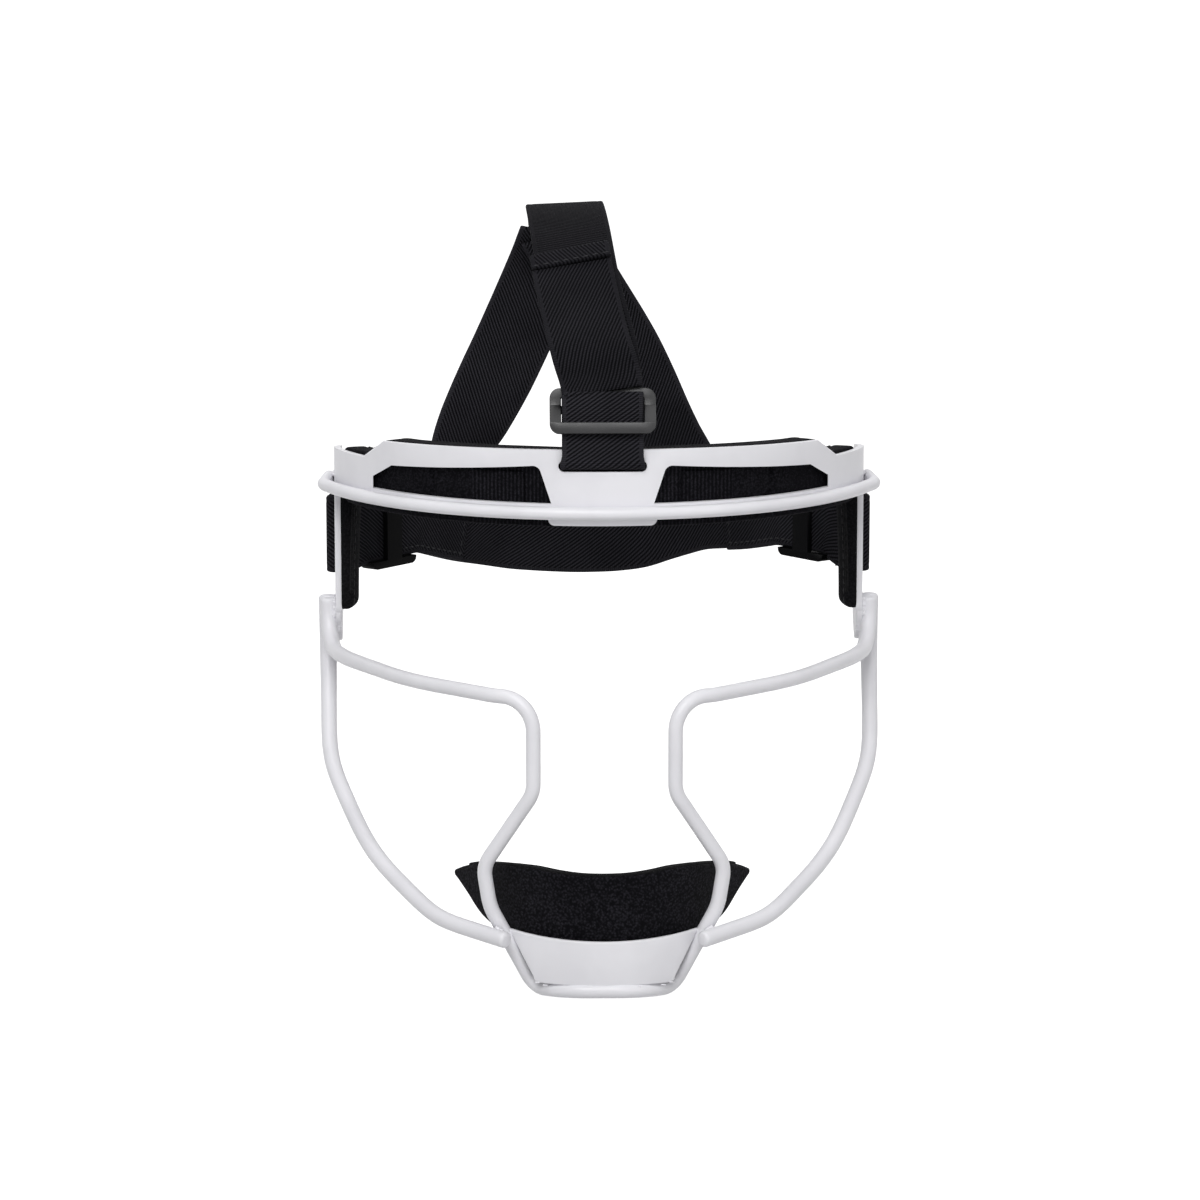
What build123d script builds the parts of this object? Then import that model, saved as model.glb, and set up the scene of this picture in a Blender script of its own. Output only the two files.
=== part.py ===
from build123d import *
import os
from math import atan2, cos, degrees, radians, sin, sqrt, tan

os.makedirs("parts", exist_ok=True)

# Softball face guard, in millimetres.
# Origin: middle of the forehead pad's inner face, at the height of the brow wire.
# -Y points forward, away from the face, +X to the right in the front view, +Z up.
# "left" and "right" are as seen from the front.

# Steel cage
guard_half_width = 86.3       # outer face of a side arm, from the middle plane
corner_radius = 36.0          # plan radius where the band turns into a side arm
front_turn = 64.0             # degrees of the plan that the front arc covers on each side
sheet = 2.0
brow_wire_diameter = 4.1
face_wire_diameter = 4.6
jaw_wire_diameter = 5.2
weld_gap = 0.1                # room left for the weld bead between welded pieces
overrun = 30.0                # how far a cutting or trimming shape runs past its piece
left_way = 180.0              # direction of -X in the plan, in degrees
front_way = 270.0             # direction of -Y in the plan, in degrees

# Soft parts
forehead_pad_thickness = 10.8
pad_gap = 0.3
webbing_width = 25.4
webbing = 1.5                 # thickness of the strap webbing
ply_gap = 0.3                 # between two webbings, and between webbing and what it runs past

# The plan of the band: a front arc, two tighter corner arcs and two straight sides
turn = radians(front_turn)
corner_turn = front_way - left_way - front_turn
front_radius = (guard_half_width - corner_radius * (1 - sin(turn))) / sin(turn)
front_face_y = -(forehead_pad_thickness + pad_gap + sheet)
front_centre_y = front_face_y + front_radius
corner_centre_x = (front_radius - corner_radius) * sin(turn)
corner_centre_y = front_centre_y - (front_radius - corner_radius) * cos(turn)


def plan_curve(inset, end_y):
    # one side of a strip that runs inside the band's outer face, at a constant inset
    front = front_radius - inset
    corner = corner_radius - inset
    side = guard_half_width - inset
    Line((-side, end_y), (-side, corner_centre_y))
    CenterArc((-corner_centre_x, corner_centre_y), corner, left_way, corner_turn)
    CenterArc((0, front_centre_y), front, front_way - front_turn, 2 * front_turn)
    CenterArc((corner_centre_x, corner_centre_y), corner, front_way + front_turn, corner_turn)
    Line((side, corner_centre_y), (side, end_y))


def plan_strip(outer_inset, inner_inset, end_y):
    # the outline of the whole strip between two insets, closed at its two rear ends
    plan_curve(outer_inset, end_y)
    plan_curve(inner_inset, end_y)
    for side in (-1, 1):
        Line(
            (side * (guard_half_width - outer_inset), end_y),
            (side * (guard_half_width - inner_inset), end_y),
        )


# Forehead band: one sheet with two windows, wings at the temples and an arm down each side
band_top = 19.7               # at the middle
band_top_end = 18.2           # at the outer ends of the raised front
band_shoulder_x = 69.0
shoulder_drop_x = 75.5
wing_top = 12.2
wing_rear_top = 9.4
rail_bottom = -1.7
lip_bottom = -4.2
lip_half_width = 17.0
lip_corner = 2.0
window_top = 14.6
window_top_end = 11.0
window_bottom = 2.6
window_inner_top = 20.0
window_inner_bottom = 16.0
window_outer_top = 66.5
window_outer = 72.6
window_outer_rise = 4.0       # height of the window's upright outer edge
window_fillet = 2.5
arm_lead = 4.33               # how far the arm's front edge lies ahead of the corner arc's end
arm_width = 24.0
arm_front = corner_centre_y - arm_lead
arm_back = arm_front + arm_width
arm_bottom = -45.0
wing_corner = 7.0
arm_corner = 5.0
wing_fillet = 5.0
slot_width = 4.6              # strap slot in each arm
slot_share = 0.6              # where the slot starts, as a share of the arm's width
slot_front = arm_front + slot_share * arm_width
slot_corner = 1.5
slot_middle_z = -19.3
slot_end_room = 1.1           # room for the webbing at each end of a slot
band_slot_bottom = 12.8       # strap slot in the middle of the band
band_slot_height = 3.5
edge_break = 0.5

with BuildPart() as forehead_band:
    with BuildSketch(Plane.XY.offset(arm_bottom)):
        with BuildLine():
            plan_strip(0, sheet, arm_back)
        make_face()
    extrude(amount=band_top - arm_bottom)
    # outline seen from the front
    with BuildSketch(Plane.XZ.offset(overrun)) as front_outline:
        with BuildLine():
            Line((0, lip_bottom), (lip_half_width, lip_bottom))
            Line((lip_half_width, lip_bottom), (lip_half_width, rail_bottom))
            Line((lip_half_width, rail_bottom), (band_shoulder_x, rail_bottom))
            Line((band_shoulder_x, rail_bottom), (band_shoulder_x, arm_bottom))
            Line((band_shoulder_x, arm_bottom), (guard_half_width + sheet, arm_bottom))
            Line((guard_half_width + sheet, arm_bottom), (guard_half_width + sheet, wing_top))
            Line((guard_half_width + sheet, wing_top), (shoulder_drop_x, wing_top))
            Line((shoulder_drop_x, wing_top), (band_shoulder_x, band_top_end))
            RadiusArc(
                (band_shoulder_x, band_top_end),
                (0, band_top),
                -(band_shoulder_x**2) / (2 * (band_top - band_top_end)),
            )
            Line((0, band_top), (0, lip_bottom))
        make_face()
        mirror(about=Plane.YZ)
        lip_points = front_outline.vertices().filter_by_position(
            Axis.Y, lip_bottom - edge_break, lip_bottom + edge_break
        )
        fillet([v for v in lip_points if abs(v.X) > edge_break], lip_corner)
    extrude(amount=-2 * overrun - arm_back, mode=Mode.INTERSECT)
    # the two windows and the slot for the front strap
    with BuildSketch(Plane.XZ.offset(overrun)) as windows:
        with BuildLine():
            Polyline(
                (window_inner_bottom, window_bottom),
                (window_inner_top, window_top),
                (window_outer_top, window_top_end),
                (window_outer, window_bottom + window_outer_rise),
                (window_outer, window_bottom),
                close=True,
            )
        make_face()
        fillet(windows.vertices().group_by(Axis.Y)[-1], window_fillet)
        mirror(about=Plane.YZ)
        with Locations((0, band_slot_bottom + band_slot_height / 2)):
            SlotOverall(webbing_width + 2 * slot_end_room, band_slot_height)
    extrude(amount=-overrun - front_centre_y, mode=Mode.SUBTRACT)
    # outline seen from the side
    with BuildSketch(Plane.YZ.offset(-guard_half_width - overrun)) as side_outline:
        with BuildLine():
            Polyline(
                (front_face_y - overrun, band_top + sheet),
                (front_face_y - overrun, lip_bottom - sheet),
                (0, lip_bottom - sheet),
                (0, rail_bottom),
                (arm_front, rail_bottom),
                (arm_front, arm_bottom),
                (arm_back, arm_bottom),
                (arm_back, wing_rear_top),
                (arm_front, wing_top),
                (arm_front - corner_radius, band_top + sheet),
                close=True,
            )
        make_face()
        corners = side_outline.vertices().group_by(Axis.X)
        fillet(corners[-1].sort_by(Axis.Y)[-1], wing_corner)
        fillet(side_outline.vertices().group_by(Axis.Y)[0], arm_corner)
        inner_corner = side_outline.vertices().filter_by_position(
            Axis.X, arm_front - edge_break, arm_front + edge_break
        ).filter_by_position(Axis.Y, rail_bottom - edge_break, rail_bottom + edge_break)
        fillet(inner_corner, wing_fillet)
        with Locations((slot_front + slot_width / 2, slot_middle_z)):
            RectangleRounded(
                slot_width, webbing_width + 2 * slot_end_room, slot_corner, mode=Mode.SUBTRACT
            )
    extrude(amount=2 * (guard_half_width + overrun), mode=Mode.INTERSECT)
forehead_band.part.label = "forehead_band"
export_step(forehead_band.part, "parts/forehead_band.step")

# Brow wire: lies against the band's outer face, bows clear of the arms and curls back to them
brow_reach = front_radius + weld_gap + brow_wire_diameter / 2
brow_flare = 12.0             # straight run past the front arc
brow_curl = 14.0              # bend radius at the widest place
brow_end_back = 16.0          # how far the wire's end stands behind the arm's front edge
brow_end_y = arm_front + brow_end_back
brow_end_x = guard_half_width + weld_gap + brow_wire_diameter / 2

with BuildPart() as brow_wire:
    with BuildLine() as brow_path:
        CenterArc((0, front_centre_y), brow_reach, front_way - front_turn, 2 * front_turn)
        for side in (-1, 1):
            arc_end_x = brow_reach * sin(turn)
            arc_end_y = front_centre_y - brow_reach * cos(turn)
            FilletPolyline(
                (side * arc_end_x, arc_end_y),
                (side * (arc_end_x + brow_flare * cos(turn)), arc_end_y + brow_flare * sin(turn)),
                (side * brow_end_x, brow_end_y),
                radius=brow_curl,
            )
    with BuildSketch(Plane(origin=brow_path.wire() @ 0, z_dir=brow_path.wire() % 0)):
        Circle(brow_wire_diameter / 2)
    sweep()
    with Locations(brow_path.wire() @ 0, brow_path.wire() @ 1):
        Sphere(brow_wire_diameter / 2)
brow_wire.part.label = "brow_wire"
export_step(brow_wire.part, "parts/brow_wire.step")

# Face wire: one bent wire, from the left arm under the eye, down the nose, round the
# mouth to the chin, and the same way up on the right
face_end_back = 4.0           # how far the wire's end stands behind the arm's front edge
face_end_rise = 5.5           # and above the arm's bottom
face_end = (
    guard_half_width + weld_gap + face_wire_diameter / 2,
    arm_front + face_end_back,
    arm_bottom + face_end_rise,
)
face_bend_z = -54.9
plate_half_chord = 28.4       # half the width of the chin plate's top edge, inside this wire
nose_corner = (21.9, -42.3, -53.2)
nose_bottom_z = -82.8
mouth_flare = 9.2             # how far beyond the plate's corner each bend lies
chin_side_flare = 7.9
chin_corner_tuck = 6.2
mouth = (plate_half_chord + mouth_flare, -35.0, -107.5)
chin_side = (plate_half_chord + chin_side_flare, -34.0, -120.7)
chin_corner = (plate_half_chord - chin_corner_tuck, -32.2, -147.3)
chin_bow = (12.0, -43.6, -145.5)
eye_sweep_shares = [(0.915, 0.761), (0.585, 0.335), (0.181, 0.060)]
eye_sweep_radii = [85.0, 95.0, 26.0]
face_end_bend = 9.0
nose_corner_bend = 8.5
nose_bottom_bend = 10.0
mouth_bend = 10.0
chin_side_bend = 20.0
chin_corner_bend = 5.0
chin_bow_bend = 17.0

face_side = (face_end[0], face_end[1], face_bend_z)
eye_sweep = []
for share_x, share_y in eye_sweep_shares:
    eye_sweep.append(
        (
            nose_corner[0] + share_x * (face_side[0] - nose_corner[0]),
            nose_corner[1] + share_y * (face_side[1] - nose_corner[1]),
            nose_corner[2] + share_y * (face_side[2] - nose_corner[2]),
        )
    )
nose_bottom = (nose_corner[0], nose_corner[1], nose_bottom_z)
half_face = [face_end, face_side, *eye_sweep, nose_corner, nose_bottom]
half_face += [mouth, chin_side, chin_corner, chin_bow]
half_bends = [face_end_bend, *eye_sweep_radii, nose_corner_bend, nose_bottom_bend, mouth_bend]
half_bends += [chin_side_bend, chin_corner_bend, chin_bow_bend]
face_points = [(-x, y, z) for x, y, z in half_face] + half_face[::-1]

with BuildPart() as face_wire:
    with BuildLine() as face_path:
        FilletPolyline(*face_points, radius=half_bends + half_bends[::-1])
    with BuildSketch(Plane(origin=face_path.wire() @ 0, z_dir=face_path.wire() % 0)):
        Circle(face_wire_diameter / 2)
    sweep()
    with Locations(face_path.wire() @ 0, face_path.wire() @ 1):
        Sphere(face_wire_diameter / 2)
face_wire.part.label = "face_wire"
export_step(face_wire.part, "parts/face_wire.step")

# Jaw wires: from each arm, behind the face wire's end, down and forward to the chin
jaw_end = (
    guard_half_width + weld_gap + jaw_wire_diameter / 2,
    face_end[1] + weld_gap + (face_wire_diameter + jaw_wire_diameter) / 2,
    face_end[2],
)
jaw_cross = 2.5               # extra room where the slanting jaw wire crosses the chin side
jaw_chin_y = chin_side[1] - (face_wire_diameter + jaw_wire_diameter) / 2 - jaw_cross
jaw_chin_flare = 2.7
jaw_chin = (plate_half_chord + jaw_chin_flare, jaw_chin_y, -129.5)
jaw_shares = [
    (0.999, 1.0, 0.134),
    (0.982, 0.748, 0.542),
    (0.741, 0.478, 0.814),
    (0.37, 0.2, 0.978),
]
jaw_bends = [10.0, 22.0, 70.0, 26.0]

for name, side in (("left", -1), ("right", 1)):
    jaw_points = [(side * jaw_end[0], jaw_end[1], jaw_end[2])]
    for shares in jaw_shares:
        jaw_points.append(
            (
                side * (jaw_chin[0] + shares[0] * (jaw_end[0] - jaw_chin[0])),
                jaw_chin[1] + shares[1] * (jaw_end[1] - jaw_chin[1]),
                jaw_end[2] + shares[2] * (jaw_chin[2] - jaw_end[2]),
            )
        )
    jaw_points.append((side * jaw_chin[0], jaw_chin[1], jaw_chin[2]))
    with BuildPart() as jaw_wire:
        with BuildLine() as jaw_path:
            FilletPolyline(*jaw_points, radius=jaw_bends)
        with BuildSketch(Plane(origin=jaw_path.wire() @ 0, z_dir=jaw_path.wire() % 0)):
            Circle(jaw_wire_diameter / 2)
        sweep()
        with Locations(jaw_path.wire() @ 0, jaw_path.wire() @ 1):
            Sphere(jaw_wire_diameter / 2)
    jaw_wire.part.label = name + "_jaw_wire"
    export_step(jaw_wire.part, "parts/" + name + "_jaw_wire.step")

# Chin plate: thin sheet bowed forward inside the chin of the face wire
plate_sheet = 1.6
plate_side_y = -33.0
plate_front_y = -44.0
plate_top_side = -127.8
plate_top_middle = -129.6
plate_bottom = -143.0
plate_taper = 7.8             # how much narrower each side is at the bottom
plate_bottom_half = plate_half_chord - plate_taper
plate_corner = 2.0
plate_depth = plate_side_y - plate_front_y
plate_bow = (plate_half_chord**2 + plate_depth**2) / (2 * plate_depth)
plate_centre_y = plate_front_y + plate_bow

with BuildPart() as chin_plate:
    with BuildSketch(Plane.XY.offset(plate_bottom - overrun)):
        with Locations((0, plate_centre_y)):
            Circle(plate_bow + plate_sheet / 2)
            Circle(plate_bow - plate_sheet / 2, mode=Mode.SUBTRACT)
    extrude(amount=2 * overrun + plate_top_side - plate_bottom)
    with BuildSketch(Plane.XZ.offset(plate_bow + overrun)) as plate_outline:
        with BuildLine():
            ThreePointArc(
                (-plate_half_chord, plate_top_side),
                (0, plate_top_middle),
                (plate_half_chord, plate_top_side),
            )
            Line((plate_half_chord, plate_top_side), (plate_bottom_half, plate_bottom))
            Line((plate_bottom_half, plate_bottom), (-plate_bottom_half, plate_bottom))
            Line((-plate_bottom_half, plate_bottom), (-plate_half_chord, plate_top_side))
        make_face()
        fillet(plate_outline.vertices().group_by(Axis.Y)[0], plate_corner)
    extrude(amount=-(plate_bow + overrun + plate_side_y + plate_corner), mode=Mode.INTERSECT)
chin_plate.part.label = "chin_plate"
export_step(chin_plate.part, "parts/chin_plate.step")

# The loop strap is flat across, so it needs room for the band's curve within its width
band_sag = front_radius - sqrt(front_radius**2 - (webbing_width / 2) ** 2)
rim_y = front_face_y + (sheet + band_sag) / 2
loop_radius = (sheet + band_sag + webbing) / 2 + ply_gap

# Hook-and-loop patches between the band and the forehead pad, one behind each window
patch = 1.0                   # thickness of a hook-and-loop patch
patch_room = 0.3              # room left all round a patch in the pad's pocket
brow_patch_start = 16.0       # degrees from the middle plane, round the front arc
brow_patch_turn = 20.0        # degrees that each patch covers
brow_patch_bottom = 2.0
brow_patch_height = 10.0
patch_outer = front_radius - sheet - pad_gap

with BuildPart() as brow_hook_patches:
    with BuildSketch(Plane.XY.offset(brow_patch_bottom)):
        for start in (front_way + brow_patch_start, front_way - brow_patch_start - brow_patch_turn):
            with BuildLine():
                CenterArc((0, front_centre_y), patch_outer - patch / 2, start, brow_patch_turn)
            trace(line_width=patch)
    extrude(amount=brow_patch_height)
brow_hook_patches.part.label = "brow_hook_patches"
export_step(brow_hook_patches.part, "parts/brow_hook_patches.step")

# Forehead pad: crowned foam behind the band, a little taller than the band
pad_bottom = -5.0
pad_sink = 1.2                # how far the pad's top lies below the band's top at the front
pad_wing_top = 12.4
pad_corner_turn = 13.0        # degrees of each corner arc that the pad reaches round
forehead_pad_crown = 3.5
loop_recess_room = 1.6
loop_recess_half_width = webbing_width / 2 + loop_recess_room
loop_recess_depth = band_sag + webbing + ply_gap
loop_recess_bottom = 12.4
pad_front = front_radius - sheet - pad_gap
pad_corner = corner_radius - sheet - pad_gap
pad_height = band_top - pad_sink - pad_bottom
pad_front_y = front_centre_y - pad_front
pad_start = front_way - front_turn - pad_corner_turn
pad_edge_in = forehead_pad_thickness - forehead_pad_crown

with BuildPart() as forehead_pad:
    with BuildLine(Plane.XY) as pad_path:
        CenterArc((-corner_centre_x, corner_centre_y), pad_corner, pad_start, pad_corner_turn)
        CenterArc((0, front_centre_y), pad_front, front_way - front_turn, 2 * front_turn)
        CenterArc((corner_centre_x, corner_centre_y), pad_corner, front_way + front_turn, pad_corner_turn)
    pad_heading = pad_path.wire() % 0
    pad_across = (-pad_heading.Y, pad_heading.X, 0)
    with BuildSketch(Plane(origin=pad_path.wire() @ 0, x_dir=pad_across, z_dir=pad_heading)):
        with BuildLine():
            Polyline(
                (pad_edge_in, pad_bottom),
                (0, pad_bottom),
                (0, pad_bottom + pad_height),
                (pad_edge_in, pad_bottom + pad_height),
            )
            ThreePointArc(
                (pad_edge_in, pad_bottom + pad_height),
                (forehead_pad_thickness, pad_bottom + pad_height / 2),
                (pad_edge_in, pad_bottom),
            )
        make_face()
    sweep()
    with BuildSketch(Plane.XZ.offset(overrun)):
        with BuildLine():
            Polyline(
                (0, pad_bottom),
                (guard_half_width, pad_bottom),
                (guard_half_width, pad_wing_top),
                (shoulder_drop_x, pad_wing_top),
                (band_shoulder_x, band_top_end - pad_sink),
                (0, band_top - pad_sink),
                close=True,
            )
        make_face()
        mirror(about=Plane.YZ)
    extrude(amount=-overrun - arm_back, mode=Mode.INTERSECT)
    # recess for the front strap and pockets for the patches
    with BuildSketch(Plane.XY.offset(loop_recess_bottom)):
        with Locations((0, pad_front_y)):
            Rectangle(2 * loop_recess_half_width, 2 * loop_recess_depth)
    extrude(amount=pad_height, mode=Mode.SUBTRACT)
    pocket_margin = degrees(patch_room / patch_outer)
    pocket_turn = brow_patch_turn + 2 * pocket_margin
    with BuildSketch(Plane.XY.offset(brow_patch_bottom - patch_room)):
        for start in (front_way + brow_patch_start, front_way - brow_patch_start - brow_patch_turn):
            with BuildLine():
                CenterArc((0, front_centre_y), patch_outer, start - pocket_margin, pocket_turn)
            trace(line_width=2 * (patch + patch_room))
    extrude(amount=brow_patch_height + 2 * patch_room, mode=Mode.SUBTRACT)
forehead_pad.part.label = "forehead_pad"
export_step(forehead_pad.part, "parts/forehead_pad.step")

# Side pads: foam on the inner face of each arm, in front of the strap slot, on a patch
side_pad_thickness = 4.5
side_pad_lead = 1.0           # how far the pad starts ahead of the arm's front edge
side_pad_share = 0.55         # of the arm's width
side_pad_bottom = -41.5
side_pad_top = 8.0
side_pad_corner = 5.0
side_pad_edge = 2.0
side_patch_start_share = 0.146
side_patch_share = 0.27
side_patch_bottom = -36.0
side_patch_top = 2.0
side_pad_width = side_pad_share * arm_width
side_pad_middle_y = arm_front - side_pad_lead + side_pad_width / 2
side_patch_width = side_patch_share * arm_width
side_patch_middle_y = arm_front + side_patch_start_share * arm_width + side_patch_width / 2

for name, side in (("left", -1), ("right", 1)):
    patch_face_x = guard_half_width - sheet - pad_gap
    with BuildPart() as side_hook_patch:
        with BuildSketch(Plane.YZ.offset(side * patch_face_x)):
            with Locations((side_patch_middle_y, (side_patch_top + side_patch_bottom) / 2)):
                Rectangle(side_patch_width, side_patch_top - side_patch_bottom)
        extrude(amount=-side * patch)
    side_hook_patch.part.label = name + "_side_hook_patch"
    export_step(side_hook_patch.part, "parts/" + name + "_side_hook_patch.step")

    with BuildPart() as side_pad:
        with BuildSketch(Plane.YZ.offset(side * (patch_face_x - patch - patch_room))):
            with Locations((side_pad_middle_y, (side_pad_top + side_pad_bottom) / 2)):
                RectangleRounded(side_pad_width, side_pad_top - side_pad_bottom, side_pad_corner)
        extrude(amount=-side * side_pad_thickness)
        inner = side_pad.faces().sort_by(Axis.X)[0 if side > 0 else -1]
        fillet(inner.edges(), side_pad_edge)
    side_pad.part.label = name + "_side_pad"
    export_step(side_pad.part, "parts/" + name + "_side_pad.step")

# Chin pad: a foam cup behind the chin plate, wrapped round the jaw, with pointed ends
chin_pad_thickness = 8.0
chin_pad_turn = 55.0          # degrees of the middle arc on each side
chin_pad_run = 26.0           # straight run from the arc to the pointed end
chin_pad_face = plate_bow - plate_sheet / 2 - patch - 2 * ply_gap
chin_pad_top_middle = -109.5
chin_pad_top_flare = 2.6      # how far the pad's outline stands out beyond the plate's corners
chin_pad_shoulder_flare = 10.6
chin_pad_tip_flare = 19.9
chin_pad_lower_flare = 10.1
chin_pad_bottom_tuck = 8.4
chin_pad_top_x = plate_half_chord + chin_pad_top_flare
chin_pad_top = -109.6
chin_pad_shoulder_x = plate_half_chord + chin_pad_shoulder_flare
chin_pad_shoulder = -111.5
chin_pad_tip = (plate_half_chord + chin_pad_tip_flare, -116.5)
chin_pad_lower = (plate_half_chord + chin_pad_lower_flare, -128.0)
chin_pad_bottom_x = plate_half_chord - chin_pad_bottom_tuck
chin_pad_bottom = -138.0
chin_pad_tip_round = 3.0


def chin_strip_end(radius, way):
    bend = radians(chin_pad_turn)
    return (
        way * (radius * sin(bend) + chin_pad_run * cos(bend)),
        plate_centre_y - radius * cos(bend) + chin_pad_run * sin(bend),
    )


def chin_curve(radius):
    # plan of the chin cup: a middle arc and a straight run at each side
    bend = radians(chin_pad_turn)
    CenterArc((0, plate_centre_y), radius, front_way - chin_pad_turn, 2 * chin_pad_turn)
    for way in (-1, 1):
        arc_end = (way * radius * sin(bend), plate_centre_y - radius * cos(bend))
        Line(arc_end, chin_strip_end(radius, way))


with BuildPart() as chin_pad:
    with BuildSketch(Plane.XY.offset(chin_pad_bottom)):
        with BuildLine():
            chin_curve(chin_pad_face)
            chin_curve(chin_pad_face - chin_pad_thickness)
            for way in (-1, 1):
                Line(
                    chin_strip_end(chin_pad_face, way),
                    chin_strip_end(chin_pad_face - chin_pad_thickness, way),
                )
        make_face()
    extrude(amount=chin_pad_top - chin_pad_bottom)
    with BuildSketch(Plane.XZ.offset(plate_bow + overrun)) as chin_pad_outline:
        with BuildLine():
            ThreePointArc(
                (-chin_pad_top_x, chin_pad_top),
                (0, chin_pad_top_middle),
                (chin_pad_top_x, chin_pad_top),
            )
            for way in (-1, 1):
                Polyline(
                    (way * chin_pad_top_x, chin_pad_top),
                    (way * chin_pad_shoulder_x, chin_pad_shoulder),
                    (way * chin_pad_tip[0], chin_pad_tip[1]),
                    (way * chin_pad_lower[0], chin_pad_lower[1]),
                    (way * chin_pad_bottom_x, chin_pad_bottom),
                )
            Line((-chin_pad_bottom_x, chin_pad_bottom), (chin_pad_bottom_x, chin_pad_bottom))
        make_face()
        tips = chin_pad_outline.vertices().sort_by(Axis.X)
        fillet([tips[0], tips[-1]], chin_pad_tip_round)
    extrude(amount=-2 * (plate_bow + overrun), mode=Mode.INTERSECT)
chin_pad.part.label = "chin_pad"
export_step(chin_pad.part, "parts/chin_pad.step")

# Hook-and-loop patches that hold the chin pad to the plate
chin_patch_half_width = 16.0
chin_patch_height = 9.0
chin_patch_face = plate_bow - plate_sheet / 2 - ply_gap

with BuildPart() as chin_hook_patch:
    with BuildSketch(Plane.XY.offset((plate_top_middle + plate_bottom - chin_patch_height) / 2)):
        with Locations((0, plate_centre_y)):
            Circle(chin_patch_face)
            Circle(chin_patch_face - patch, mode=Mode.SUBTRACT)
    extrude(amount=chin_patch_height)
    with BuildSketch(Plane.XZ.offset(plate_bow + overrun)):
        with Locations((0, (plate_top_middle + plate_bottom) / 2)):
            Rectangle(2 * chin_patch_half_width, 2 * chin_patch_height)
    extrude(amount=-(plate_bow + overrun + plate_side_y + chin_patch_height), mode=Mode.INTERSECT)
chin_hook_patch.part.label = "chin_hook_patch"
export_step(chin_hook_patch.part, "parts/chin_hook_patch.step")

# Loop strap: through the slot in the band and up both sides of its rim, as two plies
loop_middle_z = 16.6          # centre of the turn under the rim
lean_z = 21.0                 # height at which the plies lean back
lean = radians(14.0)
lean_bend = 15.0
ply_length = 16.5             # along the lean, up to the slider's top bar
lean_shift = loop_radius * tan(lean / 2)
ply_top = []
for side in (-1, 1):
    ply_top.append(
        (
            rim_y + ply_length * sin(lean) + side * loop_radius * cos(lean),
            lean_z + ply_length * cos(lean) - side * loop_radius * sin(lean),
        )
    )

with BuildPart() as band_loop_strap:
    with BuildSketch(Plane.YZ):
        with BuildLine():
            FilletPolyline(
                ply_top[0],
                (rim_y - loop_radius, lean_z + lean_shift),
                (rim_y - loop_radius, loop_middle_z - loop_radius),
                (rim_y + loop_radius, loop_middle_z - loop_radius),
                (rim_y + loop_radius, lean_z - lean_shift),
                ply_top[1],
                radius=[lean_bend, loop_radius - weld_gap, loop_radius - weld_gap, lean_bend],
            )
        trace(line_width=webbing)
    extrude(amount=webbing_width / 2, both=True)
band_loop_strap.part.label = "band_loop_strap"
export_step(band_loop_strap.part, "parts/band_loop_strap.step")

# Slider: a three-bar buckle. The strap runs behind its lower bar and over its upper bars
slider_window_room = 0.7      # beside the webbing
slider_side_bar = 3.1
slider_window_half = webbing_width / 2 + slider_window_room
slider_half_width = slider_window_half + slider_side_bar
slider_start = 3.1            # along the lean, from the bend
slider_length = 14.8
slider_corner = 3.2
slider_bar = 3.5              # length of the lower bar along the strap
slider_bar_thickness = 2.6
slider_upper_thickness = 2.0
slider_slant_start = 10.2
slider_slant_end = 12.6
slider_middle_start = 9.8
slider_middle_end = 12.2
slider_top_start = 14.8
slider_back = loop_radius + webbing / 2 + ply_gap
slider_plane = Plane(
    origin=(0, rim_y, lean_z),
    x_dir=(1, 0, 0),
    z_dir=(0, -cos(lean), sin(lean)),
)

with BuildPart() as strap_slider:
    with BuildSketch(Plane(origin=slider_plane.origin, x_dir=-slider_plane.z_dir, z_dir=slider_plane.x_dir)):
        with BuildLine():
            Polyline(
                (-slider_back, slider_start),
                (-slider_back - slider_bar_thickness, slider_start),
                (-slider_back - slider_bar_thickness, slider_start + slider_bar),
                (-slider_upper_thickness / 2, slider_slant_end),
                (-slider_upper_thickness / 2, slider_start + slider_length),
                (slider_upper_thickness / 2, slider_start + slider_length),
                (slider_upper_thickness / 2, slider_slant_start),
                (-slider_back, slider_start + slider_bar),
                close=True,
            )
        make_face()
    extrude(amount=slider_half_width, both=True)
    with BuildSketch(slider_plane):
        with Locations((0, slider_start + slider_length / 2)):
            RectangleRounded(2 * slider_half_width, slider_length, slider_corner)
    extrude(amount=slider_length, both=True, mode=Mode.INTERSECT)
    with BuildSketch(slider_plane):
        with Locations((0, (slider_start + slider_bar + slider_middle_start) / 2)):
            Rectangle(2 * slider_window_half, slider_middle_start - slider_start - slider_bar)
        with Locations((0, (slider_middle_end + slider_top_start) / 2)):
            Rectangle(2 * slider_window_half, slider_top_start - slider_middle_end)
    extrude(amount=slider_length, both=True, mode=Mode.SUBTRACT)
    with BuildSketch(slider_plane.offset(slider_upper_thickness / 2)):
        with Locations((0, (slider_middle_start + slider_middle_end) / 2)):
            Rectangle(2 * slider_window_half, slider_middle_end - slider_middle_start)
    extrude(amount=slider_length, mode=Mode.SUBTRACT)
strap_slider.part.label = "strap_slider"
export_step(strap_slider.part, "parts/strap_slider.step")

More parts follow.
